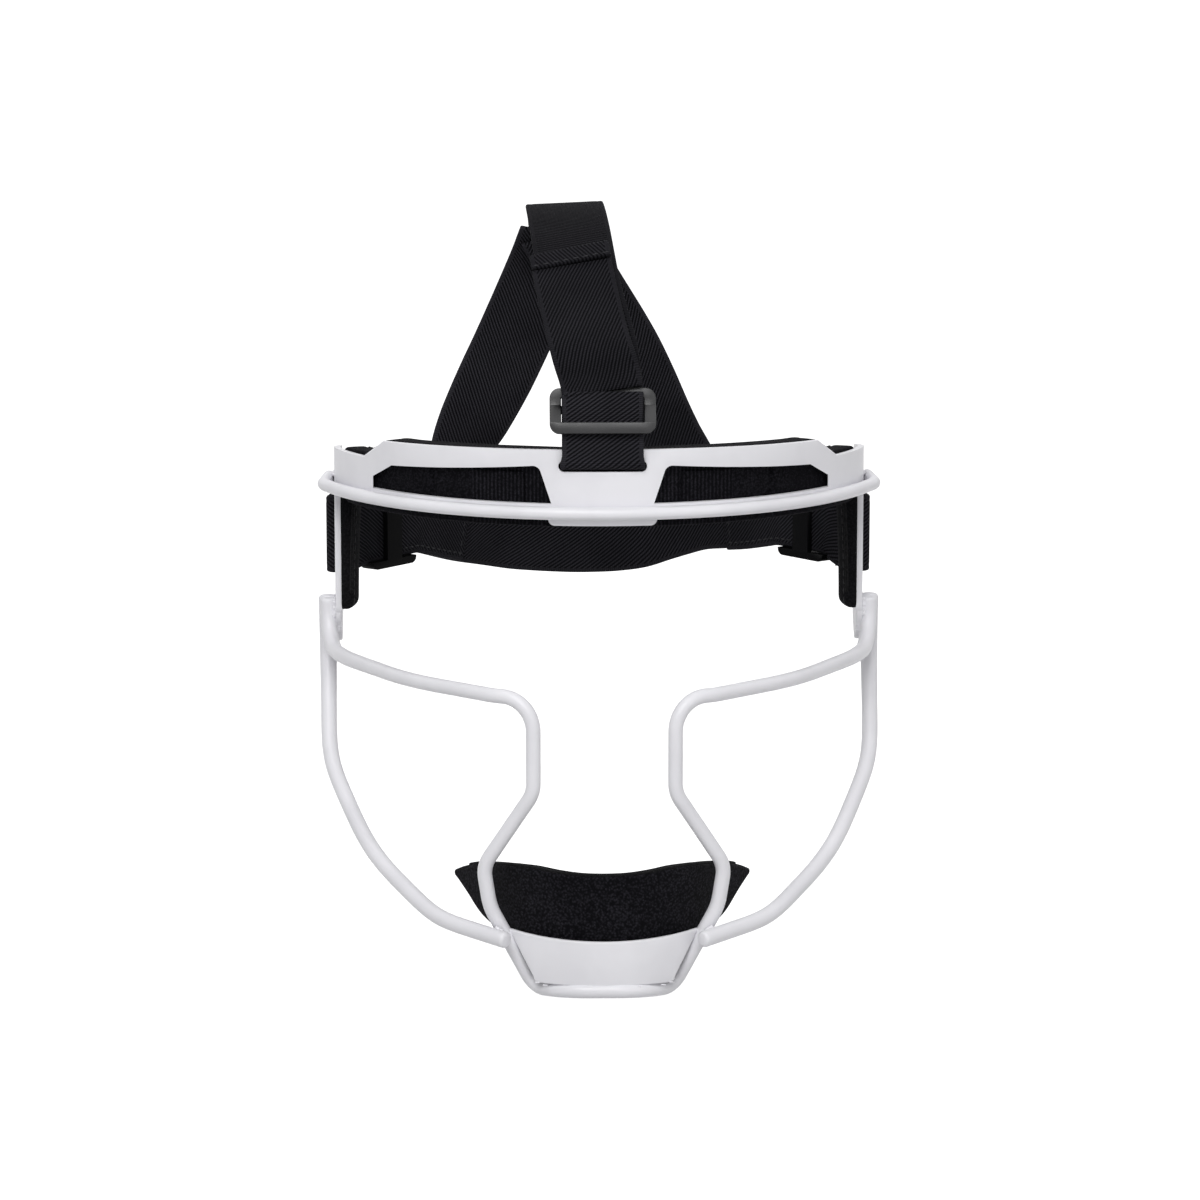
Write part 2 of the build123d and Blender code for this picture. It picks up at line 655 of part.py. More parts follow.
# Crown strap and stitched tail: the two plies go on up from the slider. The rear ply
# passes over the top of the head and the front ply ends in a hem
crown_points = [
    (-6.5, 12.6, 67.8),
    (-9.5, 40.6, 83.1),
    (-11.0, 70.0, 88.6),
    (-10.4, 91.5, 83.3),
    (-9.5, 103.3, 73.7),
]
tail_points = [(-6.5, 11.5, 69.2), (-7.6, 20.6, 76.3)]
crown_end_heading = (0.06, 0.68, -0.73)
tail_end_heading = (-0.09, 0.79, 0.61)
straight_run = 15.5           # past the slider, where the two plies still run straight
straight_drift = -2.0         # how far they have moved sideways at its end
crown_stations = 14
tail_stations = 8
heading_up = (0, sin(lean), cos(lean))

for name, side, points, end_heading, stations in (
    ("crown_strap", 1, crown_points, crown_end_heading, crown_stations),
    ("tail_strap", -1, tail_points, tail_end_heading, tail_stations),
):
    start_y = rim_y + side * loop_radius * cos(lean)
    start_z = lean_z - side * loop_radius * sin(lean)
    run_points = []
    for reach, shift in ((ply_length, 0), (ply_length + straight_run, straight_drift)):
        run_points.append((shift, start_y + reach * sin(lean), start_z + reach * cos(lean)))
    with BuildPart() as long_ply:
        with BuildLine() as ply_path:
            Spline(*run_points, *points, tangents=[heading_up, end_heading])
        for index in range(stations + 1):
            share = index / stations
            heading = ply_path.line % share
            with BuildSketch(Plane(origin=ply_path.line @ share, x_dir=(1, 0, 0), z_dir=heading)):
                Rectangle(webbing_width, webbing)
        loft()
    long_ply.part.label = name
    export_step(long_ply.part, "parts/" + name + ".step")

# Harness: temple straps, guides and rear strap follow one line in plan on each side
temple_inset = 1.1            # from the arm's inner face to the middle of the webbing
temple_turn = (guard_half_width - sheet - temple_inset, slot_front + slot_width / 2)
temple_heading = atan2(0.785, -0.62)
temple_end_share = 0.703      # of the run to the rear strap's corner
temple_loop_in = -4.2         # the loop round the arm's rear edge, from the corner inside the arm
temple_loop_middle = 4.4
temple_loop_out = 6.1
temple_loop_back = 3.3        # how far the loop stands behind the arm
temple_bends = [2.2, 2.0, 2.0]
rear_corner_share = 0.6705    # how far the run to the rear corner goes towards the middle plane
rear_corner = -temple_turn[0] * rear_corner_share / cos(temple_heading)
temple_end = temple_end_share * rear_corner
temple_loop = [
    (temple_loop_in, arm_back + temple_loop_back - temple_turn[1]),
    (temple_loop_middle, arm_back + temple_loop_back - temple_turn[1]),
    (temple_loop_out, 0),
]
strap_low = -80.0             # below everything on the harness
# How high the middle of each temple strap runs, at places behind the corner inside the arm
left_heights = [
    (-14.7, -19.4),
    (0.3, -19.4),
    (8.8, -17.3),
    (26.3, -17.0),
    (30.3, -17.3),
    (34.3, -19.0),
    (50.3, -24.2),
    (66.3, -29.6),
]
right_heights = [
    (-14.7, -19.3),
    (1.0, -19.3),
    (8.8, -14.9),
    (26.3, -14.7),
    (30.3, -15.0),
    (34.3, -16.6),
    (42.9, -19.0),
    (51.3, -20.7),
    (66.3, -24.0),
]

for name, side, heights in (("left", -1, left_heights), ("right", 1, right_heights)):
    side_top = [(temple_turn[1] + y, z + webbing_width / 2) for y, z in heights]
    side_low = [(temple_turn[1] + y, z - webbing_width / 2) for y, z in heights]
    run_end = (
        side * (temple_turn[0] + temple_end * cos(temple_heading)),
        temple_turn[1] + temple_end * sin(temple_heading),
    )
    with BuildPart() as temple_strap:
        with BuildSketch(Plane.XY.offset(strap_low)):
            with BuildLine():
                loop_points = []
                for x, y in temple_loop + [(0, 0)]:
                    loop_points.append((side * (temple_turn[0] + x), temple_turn[1] + y))
                FilletPolyline(*loop_points, run_end, radius=temple_bends)
            trace(line_width=webbing)
        extrude(amount=-2 * strap_low)
        with BuildSketch(Plane.YZ.offset(-guard_half_width - overrun)):
            with BuildLine():
                Polyline(*side_top)
                Polyline(*side_low)
                Line(side_top[0], side_low[0])
                Line(side_top[-1], side_low[-1])
            make_face()
        extrude(amount=2 * (guard_half_width + overrun), mode=Mode.INTERSECT)
    temple_strap.part.label = name + "_temple_strap"
    export_step(temple_strap.part, "parts/" + name + "_temple_strap.step")

# Rear strap: one ply outside the temple straps, round the back of the head
ply_pitch = webbing + ply_gap
rear_start = 39.5             # along the temple line
rear_bend = 40.0
# How high its middle runs: shares of the half width from left to right, then of the webbing's width
rear_height_shares = [
    (-1.03, -0.685),
    (-0.971, -0.748),
    (-0.762, -0.9528),
    (-0.5, -1.1496),
    (-0.333, -1.2165),
    (-0.156, -1.248),
    (0.0, -1.248),
    (0.133, -1.2323),
    (0.25, -1.189),
    (0.366, -1.0866),
    (0.479, -0.9843),
    (0.592, -0.8819),
    (0.707, -0.811),
    (0.82, -0.748),
    (0.936, -0.6772),
    (1.03, -0.6142),
]

rear_points = []
for reach in (rear_start, rear_corner):
    rear_points.append(
        (
            temple_turn[0] + reach * cos(temple_heading) + ply_pitch * sin(temple_heading),
            temple_turn[1] + reach * sin(temple_heading) - ply_pitch * cos(temple_heading),
        )
    )
rear_top = []
rear_low = []
for share_x, share_z in rear_height_shares:
    rear_top.append((share_x * rear_points[0][0], share_z * webbing_width + webbing_width / 2))
    rear_low.append((share_x * rear_points[0][0], share_z * webbing_width - webbing_width / 2))

with BuildPart() as rear_strap:
    with BuildSketch(Plane.XY.offset(strap_low)):
        with BuildLine():
            FilletPolyline(*[(-x, y) for x, y in rear_points], *rear_points[::-1], radius=rear_bend)
        trace(line_width=webbing)
    extrude(amount=-2 * strap_low)
    with BuildSketch(Plane.XZ.offset(-temple_turn[1])):
        with BuildLine():
            Polyline(*rear_top)
            Polyline(*rear_low)
            Line(rear_top[0], rear_low[0])
            Line(rear_top[-1], rear_low[-1])
        make_face()
    extrude(amount=-rear_corner - overrun, mode=Mode.INTERSECT)
rear_strap.part.label = "rear_strap"
export_step(rear_strap.part, "parts/rear_strap.step")

# Strap guides: moulded keepers on the temple straps
guide_start = 10.5            # along the temple line
guide_length = 22.5
guide_left_z = -17.2
guide_right_z = -14.9
guide_corner = 2.5
guide_wall = 1.8
guide_bar_start = 7.5         # the crossbar on the inner side, along the guide
guide_bar = 7.5
guide_post = 5.0
guide_rail = 2.0
guide_room = 0.8              # between the webbing's edge and the rail
guide_height = webbing_width + 2 * (guide_room + guide_rail)
guide_reach = webbing / 2 + ply_gap

for name, side, guide_z in (("left", -1, guide_left_z), ("right", 1, guide_right_z)):
    guide_plane = Plane(
        origin=(
            side * (temple_turn[0] + guide_start * cos(temple_heading)),
            temple_turn[1] + guide_start * sin(temple_heading),
            guide_z,
        ),
        x_dir=(side * cos(temple_heading), sin(temple_heading), 0),
        z_dir=(side * sin(temple_heading), -cos(temple_heading), 0),
    )
    with BuildPart() as strap_guide:
        with BuildSketch(guide_plane.offset(-guide_reach - guide_wall)):
            with Locations((guide_length / 2, 0)):
                RectangleRounded(guide_length, guide_height, guide_corner)
        extrude(amount=2 * (guide_reach + guide_wall))
        # room for the webbing all the way along
        with BuildSketch(guide_plane.offset(-guide_reach)):
            with Locations((guide_length / 2, 0)):
                Rectangle(guide_length, guide_height - 2 * guide_rail)
        extrude(amount=2 * guide_reach, mode=Mode.SUBTRACT)
        # the outer wall keeps its two end posts, the inner wall its crossbar
        with BuildSketch(guide_plane.offset(guide_reach)):
            with Locations((guide_length / 2, 0)):
                Rectangle(guide_length - 2 * guide_post, guide_height - 2 * guide_rail)
        extrude(amount=guide_wall, mode=Mode.SUBTRACT)
        with BuildSketch(guide_plane.offset(-guide_reach - guide_wall)):
            with Locations((guide_bar_start / 2, 0)):
                Rectangle(guide_bar_start, guide_height - 2 * guide_rail)
            with Locations(((guide_bar_start + guide_bar + guide_length) / 2, 0)):
                Rectangle(guide_length - guide_bar_start - guide_bar, guide_height - 2 * guide_rail)
        extrude(amount=guide_wall, mode=Mode.SUBTRACT)
    strap_guide.part.label = name + "_strap_guide"
    export_step(strap_guide.part, "parts/" + name + "_strap_guide.step")

# Crown arms: flat ribbons from under the crown strap down to the outside of the rear strap.
# The left one is the next ply under the crown strap and the right one lies under both
arm_out = 4.2                 # how far the feet stand outside the temple line
left_arm_top = (-10.0, 94.3, 78.7)
left_foot_share = 0.602       # of the run to the rear strap's corner
left_foot_z = -22.0
left_arm_shares = [
    (-0.0, 0.0, -0.0),
    (0.154, 0.667, 0.166),
    (0.424, 1.038, 0.424),
    (0.734, 1.294, 0.702),
    (0.83, 1.408, 0.786),
    (0.907, 1.386, 0.861),
    (1.0, 1.0, 1.0),
]
left_arm_normals = [
    (0, 0.65, 0.76),
    (0, 0.88, 0.47),
    (-0.05, 0.98, 0.2),
    (-0.1, 0.98, 0.14),
    (-0.35, 0.93, 0.08),
    (-0.72, 0.69, 0),
    (-0.785, 0.62, 0),
]
right_arm_top = (-11.0, 93.0, 77.0)
right_foot_share = 0.793
right_foot_z = -34.0
right_arm_shares = [
    (0.0, 0.0, -0.0),
    (0.158, 0.342, 0.154),
    (0.418, 0.559, 0.369),
    (0.656, 0.807, 0.586),
    (0.885, 1.177, 0.766),
    (0.948, 1.111, 0.892),
    (1.0, 1.0, 1.0),
]
right_arm_normals = [
    (0, 0.65, 0.76),
    (0, 0.88, 0.47),
    (0.1, 0.94, 0.3),
    (0.17, 0.93, 0.32),
    (0.6, 0.8, 0.1),
    (0.72, 0.69, 0),
    (0.76, 0.65, 0),
]
arm_stations_each = 3

left_foot = (left_foot_share * rear_corner, left_foot_z)
right_foot = (right_foot_share * rear_corner, right_foot_z)

for name, side, top, foot, shares, normals in (
    ("left_crown_arm", -1, left_arm_top, left_foot, left_arm_shares, left_arm_normals),
    ("right_crown_arm", 1, right_arm_top, right_foot, right_arm_shares, right_arm_normals),
):
    foot_x = side * (temple_turn[0] + foot[0] * cos(temple_heading) + arm_out * sin(temple_heading))
    foot_y = temple_turn[1] + foot[0] * sin(temple_heading) - arm_out * cos(temple_heading)
    points = []
    for share_x, share_y, share_z in shares:
        points.append(
            (
                top[0] + share_x * (foot_x - top[0]),
                top[1] + share_y * (foot_y - top[1]),
                top[2] + share_z * (foot[1] - top[2]),
            )
        )
    with BuildPart() as crown_arm:
        with BuildLine() as arm_path:
            Spline(*points)
        runs = len(points) - 1
        for index in range(runs * arm_stations_each + 1):
            share = index / (runs * arm_stations_each)
            first = min(index // arm_stations_each, runs - 1)
            part_way = index / arm_stations_each - first
            normal = Vector(*normals[first]) * (1 - part_way) + Vector(*normals[first + 1]) * part_way
            heading = arm_path.line % share
            across = normal.cross(heading)
            with BuildSketch(Plane(origin=arm_path.line @ share, x_dir=across, z_dir=heading)):
                Rectangle(webbing_width, webbing)
        loft()
    crown_arm.part.label = name
    export_step(crown_arm.part, "parts/" + name + ".step")
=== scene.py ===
from math import cos, hypot, pi, radians, sin, sqrt, tan
import bmesh
import bpy
from mathutils import Matrix, Vector


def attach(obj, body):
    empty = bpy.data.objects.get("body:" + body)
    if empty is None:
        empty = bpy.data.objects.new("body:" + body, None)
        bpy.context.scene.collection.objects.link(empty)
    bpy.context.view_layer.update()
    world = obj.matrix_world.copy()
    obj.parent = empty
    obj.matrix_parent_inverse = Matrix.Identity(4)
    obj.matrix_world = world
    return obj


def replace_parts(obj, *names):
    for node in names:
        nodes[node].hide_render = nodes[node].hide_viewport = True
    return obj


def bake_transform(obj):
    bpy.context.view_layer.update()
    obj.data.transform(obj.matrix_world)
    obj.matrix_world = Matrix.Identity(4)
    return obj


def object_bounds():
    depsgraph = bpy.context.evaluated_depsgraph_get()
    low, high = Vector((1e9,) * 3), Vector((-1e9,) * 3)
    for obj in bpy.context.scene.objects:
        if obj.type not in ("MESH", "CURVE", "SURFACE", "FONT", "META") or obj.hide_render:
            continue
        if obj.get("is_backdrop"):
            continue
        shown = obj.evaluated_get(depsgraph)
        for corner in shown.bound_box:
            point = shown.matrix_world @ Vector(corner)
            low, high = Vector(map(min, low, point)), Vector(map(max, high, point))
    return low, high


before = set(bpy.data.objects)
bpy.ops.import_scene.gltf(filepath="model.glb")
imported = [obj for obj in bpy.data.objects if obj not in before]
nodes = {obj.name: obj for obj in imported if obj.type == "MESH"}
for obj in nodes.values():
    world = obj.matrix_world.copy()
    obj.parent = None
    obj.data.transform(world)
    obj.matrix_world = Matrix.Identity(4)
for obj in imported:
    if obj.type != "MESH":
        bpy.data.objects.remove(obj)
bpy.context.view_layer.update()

# Softball face guard: white bent-wire cage, black pads and webbing.
# Objects are in metres, +Z up, -Y to the front, +X to the right in the front view.
# The dictionaries of the pieces are in millimetres, as the solids' own sizes are.
# Those of the finishes, the camera and the studio are in metres.
mm = 0.001
scene = bpy.context.scene


# Small helpers

def newObject(name, mesh, material, body=None):
    # body None leaves the piece without a body
    piece = bpy.data.objects.new(name, mesh)
    scene.collection.objects.link(piece)
    mesh.materials.clear()
    mesh.materials.append(material)
    mesh.shade_smooth()
    if body:
        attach(piece, body)
    return piece


def evenLine(fine, step):
    # the same line with evenly spaced points
    lengths = [0]
    for a, b in zip(fine, fine[1:]):
        lengths.append(lengths[-1] + (b - a).length)
    count = max(2, round(lengths[-1] / step))
    out = []
    k = 0
    for i in range(count + 1):
        want = lengths[-1] * i / count
        while k < len(fine) - 2 and lengths[k + 1] < want:
            k += 1
        span = lengths[k + 1] - lengths[k]
        t = 0 if span == 0 else (want - lengths[k]) / span
        out.append(fine[k].lerp(fine[k + 1], min(1, max(0, t))))
    return out


def smoothLine(points, step):
    # a Catmull-Rom line through the points
    points = [Vector(p) for p in points]
    last = len(points) - 1
    fine = []
    for i in range(last):
        a = points[i - 1] if i else points[0] * 2 - points[1]
        b, c = points[i], points[i + 1]
        d = points[i + 2] if i + 2 <= last else points[-1] * 2 - points[-2]
        for k in range(24):
            t = k / 24
            fine.append(0.5 * (2 * b + (c - a) * t + (2 * a - 5 * b + 4 * c - d) * t * t
                               + (3 * b - a - 3 * c + d) * t ** 3))
    fine.append(points[-1])
    return evenLine(fine, step)


def roundedCorners(points, radii, step):
    # straight runs with round corners
    points = [Vector(p) for p in points]
    fine = [points[0]]
    for i in range(1, len(points) - 1):
        a, b, c = points[i - 1], points[i], points[i + 1]
        u, v = (a - b).normalized(), (c - b).normalized()
        half = u.angle(v) / 2
        if half > pi / 2 - 0.001:
            fine.append(b)
            continue
        reach = radii[i - 1] / tan(half)
        centre = b + (u + v).normalized() * (radii[i - 1] / sin(half))
        start, end = b + u * reach - centre, b + v * reach - centre
        turn = start.angle(end)
        axis = start.cross(end)
        for k in range(17):
            fine.append(centre + Matrix.Rotation(turn * k / 16, 3, axis) @ start)
    fine.append(points[-1])
    return evenLine(fine, step)


def relaxed(line, times):
    # the line with its corners eased, its ends kept
    for _ in range(times):
        line = [line[0]] + [(a + b * 2 + c) / 4 for a, b, c in zip(line, line[1:], line[2:])] + [line[-1]]
    return line


def headings(line):
    out = []
    for i in range(len(line)):
        a, b = line[max(0, i - 1)], line[min(len(line) - 1, i + 1)]
        out.append((b - a).normalized())
    return out


def fromTable(table, x):
    # a smooth value between the table's rows
    rows = sorted(table)
    if x <= rows[0][0]:
        return rows[0][1]
    if x >= rows[-1][0]:
        return rows[-1][1]
    k = max(i for i in range(len(rows) - 1) if rows[i][0] <= x)
    (x0, y0), (x1, y1) = rows[k], rows[k + 1]
    before = rows[k - 1] if k else rows[k]
    after = rows[k + 2] if k + 2 < len(rows) else rows[k + 1]
    span = x1 - x0
    slope0 = (y1 - before[1]) / (x1 - before[0]) * span
    slope1 = (after[1] - y0) / (after[0] - x0) * span
    t = (x - x0) / span
    return ((2 * t ** 3 - 3 * t * t + 1) * y0 + (t ** 3 - 2 * t * t + t) * slope0
            + (3 * t * t - 2 * t ** 3) * y1 + (t ** 3 - t * t) * slope1)


def meshFrom(name, bm):
    bmesh.ops.recalc_face_normals(bm, faces=bm.faces)
    mesh = bpy.data.meshes.new(name)
    bm.to_mesh(mesh)
    bm.free()
    return mesh


def skin(bm, rings):
    # quads between rings of vertices
    n = len(rings[0])
    for a, b in zip(rings, rings[1:]):
        for k in range(n):
            q = (k + 1) % n
            bm.faces.new((a[k], a[q], b[q], b[k]))


def tubeMesh(name, line, radius, around=20, blunt=1, swelling=None):
    # a round wire along a line with rounded ends; swelling gives its radius as a share at each place
    bm = bmesh.new()
    dirs = headings(line)
    side = dirs[0].orthogonal().normalized()
    last = len(line) - 1
    radii = [radius * (swelling(i / last) if swelling else 1.0) for i in range(last + 1)]

    def cap(end, way):
        p, t, r = line[end], dirs[end], radii[end]
        ball = r * blunt
        turns = [pi / 2 * k / 5.4 for k in range(1, 6)]
        return [(p + t * way * ball * sin(turn), t, r - ball * (1 - cos(turn))) for turn in turns]

    rings = []
    for p, t, r in cap(0, -1)[::-1] + list(zip(line, dirs, radii)) + cap(-1, 1):
        side = (side - t * side.dot(t)).normalized()
        other = t.cross(side)
        turns = [2 * pi * k / around for k in range(around)]
        rings.append([bm.verts.new(p + (side * cos(turn) + other * sin(turn)) * r) for turn in turns])
    skin(bm, rings)
    bm.faces.new(rings[0][::-1])
    bm.faces.new(rings[-1])
    return meshFrom(name, bm)


# Materials

class Nodes:
    # short ways to add nodes to one tree
    def __init__(self, tree):
        self.tree = tree

    def add(self, kind, values=None, **settings):
        # values go to the inputs: a socket is linked, anything else is set
        node = self.tree.nodes.new(kind)
        for key, value in settings.items():
            setattr(node, key, value)
        for key, value in (values or {}).items():
            if isinstance(value, bpy.types.NodeSocket):
                self.tree.links.new(value, node.inputs[key])
            else:
                node.inputs[key].default_value = value
        return node

    def math(self, operation, *values):
        return self.add("ShaderNodeMath", dict(enumerate(values)), operation=operation).outputs[0]

    def wave(self, place, length):
        # a sine between 0 and 1
        turn = self.math("MULTIPLY", place, 2 * pi / length)
        return self.math("MULTIPLY_ADD", self.math("SINE", turn), 0.5, 0.5)

    def noise(self, where, scale, detail, roughness=0.5):
        values = {"Vector": where, "Scale": scale, "Detail": detail, "Roughness": roughness}
        return self.add("ShaderNodeTexNoise", values).outputs[0]


class Finish(Nodes):
    # a material with one Principled shader
    def __init__(self, name, color, roughness, **fixed):
        self.material = bpy.data.materials.new(name)
        self.material.use_nodes = True
        super().__init__(self.material.node_tree)
        self.shader = self.tree.nodes["Principled BSDF"].inputs
        fixed = {"Base_Color": (*color, 1), "Roughness": roughness, **fixed}
        for key, value in fixed.items():
            self.shader[key.replace("_", " ")].default_value = value
        self.material.diffuse_color = (*color, 1)

    def place(self):
        return self.add("ShaderNodeTexCoord").outputs["Object"]

    def feed(self, key, socket):
        self.tree.links.new(socket, self.shader[key])

    def shade(self, factor, *stops):
        # the base color between two places of the factor, each with its color
        ramp = self.add("ShaderNodeValToRGB", {0: factor})
        for element, (at, color) in zip(ramp.color_ramp.elements, stops):
            element.position = at
            element.color = (*color, 1)
        self.feed("Base Color", ramp.outputs[0])

    def bump(self, height, strength, distance):
        node = self.add("ShaderNodeBump", {"Height": height, "Strength": strength, "Distance": distance})
        self.feed("Normal", node.outputs[0])


powderCoat = {"color": (0.83, 0.825, 0.86), "shade": (0.77, 0.765, 0.8), "roughness": 0.4,
              "peel": 900, "spots": 45}


def makePowderCoat():
    # satin powder coat: orange peel and a slightly uneven tone
    s = powderCoat
    m = Finish("white powder coat", s["color"], s["roughness"], Coat_Weight=0.1, Coat_Roughness=0.3)
    where = m.place()
    broad = m.noise(where, s["spots"], 3)
    m.shade(broad, (0.32, s["shade"]), (0.58, s["color"]))
    m.feed("Roughness", m.math("MULTIPLY_ADD", broad, 0.18, s["roughness"] - 0.09))
    m.bump(m.noise(where, s["peel"], 2), 0.2, 0.00004)
    return m.material


webbingLook = {"dark": (0.0012, 0.0012, 0.0018), "light": (0.03, 0.029, 0.0345), "pitch": 0.00105,
               "thread": 0.00062, "edge": 0.0113}


def makeWebbing(name, slant, light):
    # elastic twill: slanting ribs over fine cross threads, and a plain selvedge at both edges; the light tone
    # is scaled by the strap's own factor, painted light and shade
    s = webbingLook
    toneWithPaintedLight = tuple(v * light for v in s["light"])
    m = Finish(name, toneWithPaintedLight, 0.8, Specular_IOR_Level=0.04)
    weave = m.add("ShaderNodeUVMap", uv_map="weave").outputs[0]
    along, across, _ = m.add("ShaderNodeSeparateXYZ", {0: weave}).outputs
    drift = m.math("MULTIPLY_ADD", m.noise(weave, 380, 2), 0.0003, -0.00015)
    phase = m.math("MULTIPLY_ADD", along, slant[0], m.math("MULTIPLY", across, slant[1]))
    rib = m.wave(m.math("ADD", phase, drift), s["pitch"])
    thread = m.wave(along, s["thread"])
    body = m.math("MULTIPLY", rib, m.math("MULTIPLY_ADD", thread, 0.4, 0.6))
    inside = m.math("LESS_THAN", m.math("ABSOLUTE", across), s["edge"])
    selvedge = m.math("MULTIPLY", m.math("MULTIPLY_ADD", thread, 0.35, 0.35), m.math("SUBTRACT", 1, inside))
    woven = m.math("MULTIPLY_ADD", body, inside, selvedge)
    height = m.math("MULTIPLY_ADD", m.noise(weave, 2400, 3), 0.3, woven)
    tone = m.math("MULTIPLY", height, m.math("MULTIPLY_ADD", m.noise(weave, 60, 3), 0.5, 0.55))
    m.shade(tone, (0.14, s["dark"]), (0.88, toneWithPaintedLight))
    m.bump(height, 0.9, 0.00028)
    return m.material


def makeKnit(name, look):
    # cover of a pad: fine loops under a short fuzz, with upright wales where the cover is ribbed
    s = look
    m = Finish(name, s["light"], 0.88, Specular_IOR_Level=0.06, Sheen_Weight=s["sheen"], Sheen_Roughness=0.5)
    where = m.place()
    loops = m.add("ShaderNodeTexVoronoi", {"Scale": s["loops"], "Vector": where}).outputs["Distance"]
    hair = m.noise(where, s["fuzz"], 6, 0.7)
    height = m.math("MULTIPLY_ADD", hair, 0.8, m.math("MULTIPLY", loops, -0.5))
    if "wale" in s:
        sideways = m.add("ShaderNodeSeparateXYZ", {0: where}).outputs[0]
        wale = m.math("SINE", m.math("MULTIPLY", sideways, 2 * pi / s["wale"]))
        near = m.math("LESS_THAN", m.math("ABSOLUTE", sideways), s["ribbed"])
        height = m.math("MULTIPLY_ADD", m.math("MULTIPLY", wale, near), 0.2, height)
    m.shade(m.math("MULTIPLY_ADD", m.noise(where, 70, 2), 0.25, height), (0.2, s["dark"]), (0.8, s["light"]))
    m.bump(height, s["bump"], 0.0003)
    return m.material


mouldedLook = {"dark": (0.0026, 0.0025, 0.0034), "light": (0.0054, 0.0052, 0.0068), "grain": 1700,
               "gloss": 0.5, "smooth": 0.2, "worn": 0.3}
# the guides' plastic: rougher and less glossy than the slider's, and its tones darker for painted shade
# inside the cage
shadedDullLook = {"dark": (0.001, 0.001, 0.0012), "light": (0.0024, 0.0024, 0.0029), "grain": 1500, "gloss": 0.05,
            "smooth": 0.55, "worn": 0.15}


def makeMoulded(name, look):
    # moulded plastic with a fine grain, unevenly worn
    s = look
    m = Finish(name, s["light"], s["smooth"], Specular_IOR_Level=s["gloss"])
    where = m.place()
    scuff = m.noise(where, 150, 4)
    m.feed("Roughness", m.math("MULTIPLY_ADD", scuff, s["worn"], s["smooth"]))
    m.shade(scuff, (0.3, s["dark"]), (0.7, s["light"]))
    m.bump(m.noise(where, s["grain"], 2), 0.14, 0.00005)
    return m.material


threadLook = {"dark": (0.004, 0.004, 0.005), "light": (0.019, 0.0185, 0.022)}
padThreadLook = {"dark": (0.0015, 0.0015, 0.002), "light": (0.0075, 0.0073, 0.009)}


def makeThread(name, look):
    m = Finish(name, look["light"], 0.6, Specular_IOR_Level=0.2, Sheen_Weight=0.05)
    twist = m.noise(m.place(), 2600, 2)
    m.shade(twist, (0.3, look["dark"]), (0.65, look["light"]))
    m.bump(twist, 0.4, 0.00008)
    return m.material


browKnitLook = {"dark": (0.002, 0.0019, 0.0028), "light": (0.0235, 0.0225, 0.028), "loops": 1500, "fuzz": 900,
                "bump": 0.5, "sheen": 0, "wale": 0.0012, "ribbed": 0.041}
chinKnitLook = {"dark": (0.0014, 0.0013, 0.0022), "light": (0.037, 0.0352, 0.044), "loops": 1250,
                "fuzz": 1500, "bump": 0.8, "sheen": 0.04}
sideKnitLook = {"dark": (0.003, 0.003, 0.0036), "light": (0.02, 0.0196, 0.0226), "loops": 1600, "fuzz": 1100,
                "bump": 0.5, "sheen": 0}
bindingLook = {"dark": (0.005, 0.005, 0.0055), "light": (0.03, 0.0295, 0.032), "loops": 2200, "fuzz": 1600,
               "bump": 0.6, "sheen": 0.05}
tapeLook = {"dark": (0.003, 0.003, 0.0034), "light": (0.017, 0.0168, 0.019), "loops": 2600, "fuzz": 2300,
            "bump": 0.9, "sheen": 0}

coat = makePowderCoat()
# each strap's rib slant, along and across, and how light it is: painted light and shade, each strap's tone
# raised or lowered for how the lamps fall on it
twills = {
    "crown strap": ((0.87, 0.5), 0.6), "tail strap": ((0.5, -0.87), 0.86), "loop strap": ((0.82, 0.57), 1.35),
    "rear strap": ((0.6, -0.8), 1.15), "temple strap": ((0.64, 0.77), 1.1),
    "left crown arm": ((0.69, 0.77), 1.45), "right crown arm": ((0.69, -0.77), 1.45),
}
twill = {name: makeWebbing(name + " twill", slant, light) for name, (slant, light) in twills.items()}
browKnit = makeKnit("forehead pad knit", browKnitLook)
chinKnit = makeKnit("chin pad brushed knit", chinKnitLook)
sideKnit = makeKnit("side pad knit", sideKnitLook)
bindingKnit = makeKnit("pad edge binding", bindingLook)
hookTape = makeKnit("hook tape", tapeLook)
moulded = makeMoulded("black moulded plastic", mouldedLook)
shadedDullMoulded = makeMoulded("dull moulded plastic with painted shade", shadedDullLook)
threadFinish = makeThread("sewing thread", threadLook)
padThread = makeThread("pad thread", padThreadLook)
print("materials ready")

# Camera of the photograph: about 1.4 m away and 10 degrees above
cameraView = {"azimuth": -1, "elevation": 10, "distance": 1.4, "look": (-0.0009, -0.0153, -0.02715),
              "lens": 134.6, "sensor": 36}
az, el = radians(cameraView["azimuth"]), radians(cameraView["elevation"])
backward = Vector((sin(az) * cos(el), -cos(az) * cos(el), sin(el)))
rightward = Vector((cos(az), sin(az), 0))
axes = Matrix((rightward, backward.cross(rightward), backward)).transposed().to_4x4()
cameraData = bpy.data.cameras.new("camera")
cameraData.lens = cameraView["lens"]
cameraData.sensor_width = cameraView["sensor"]
cameraData.clip_start = 0.05
camera = bpy.data.objects.new("camera", cameraData)
scene.collection.objects.link(camera)
cameraPlace = Vector(cameraView["look"]) + backward * cameraView["distance"]
camera.matrix_world = Matrix.Translation(cameraPlace) @ axes
scene.camera = camera

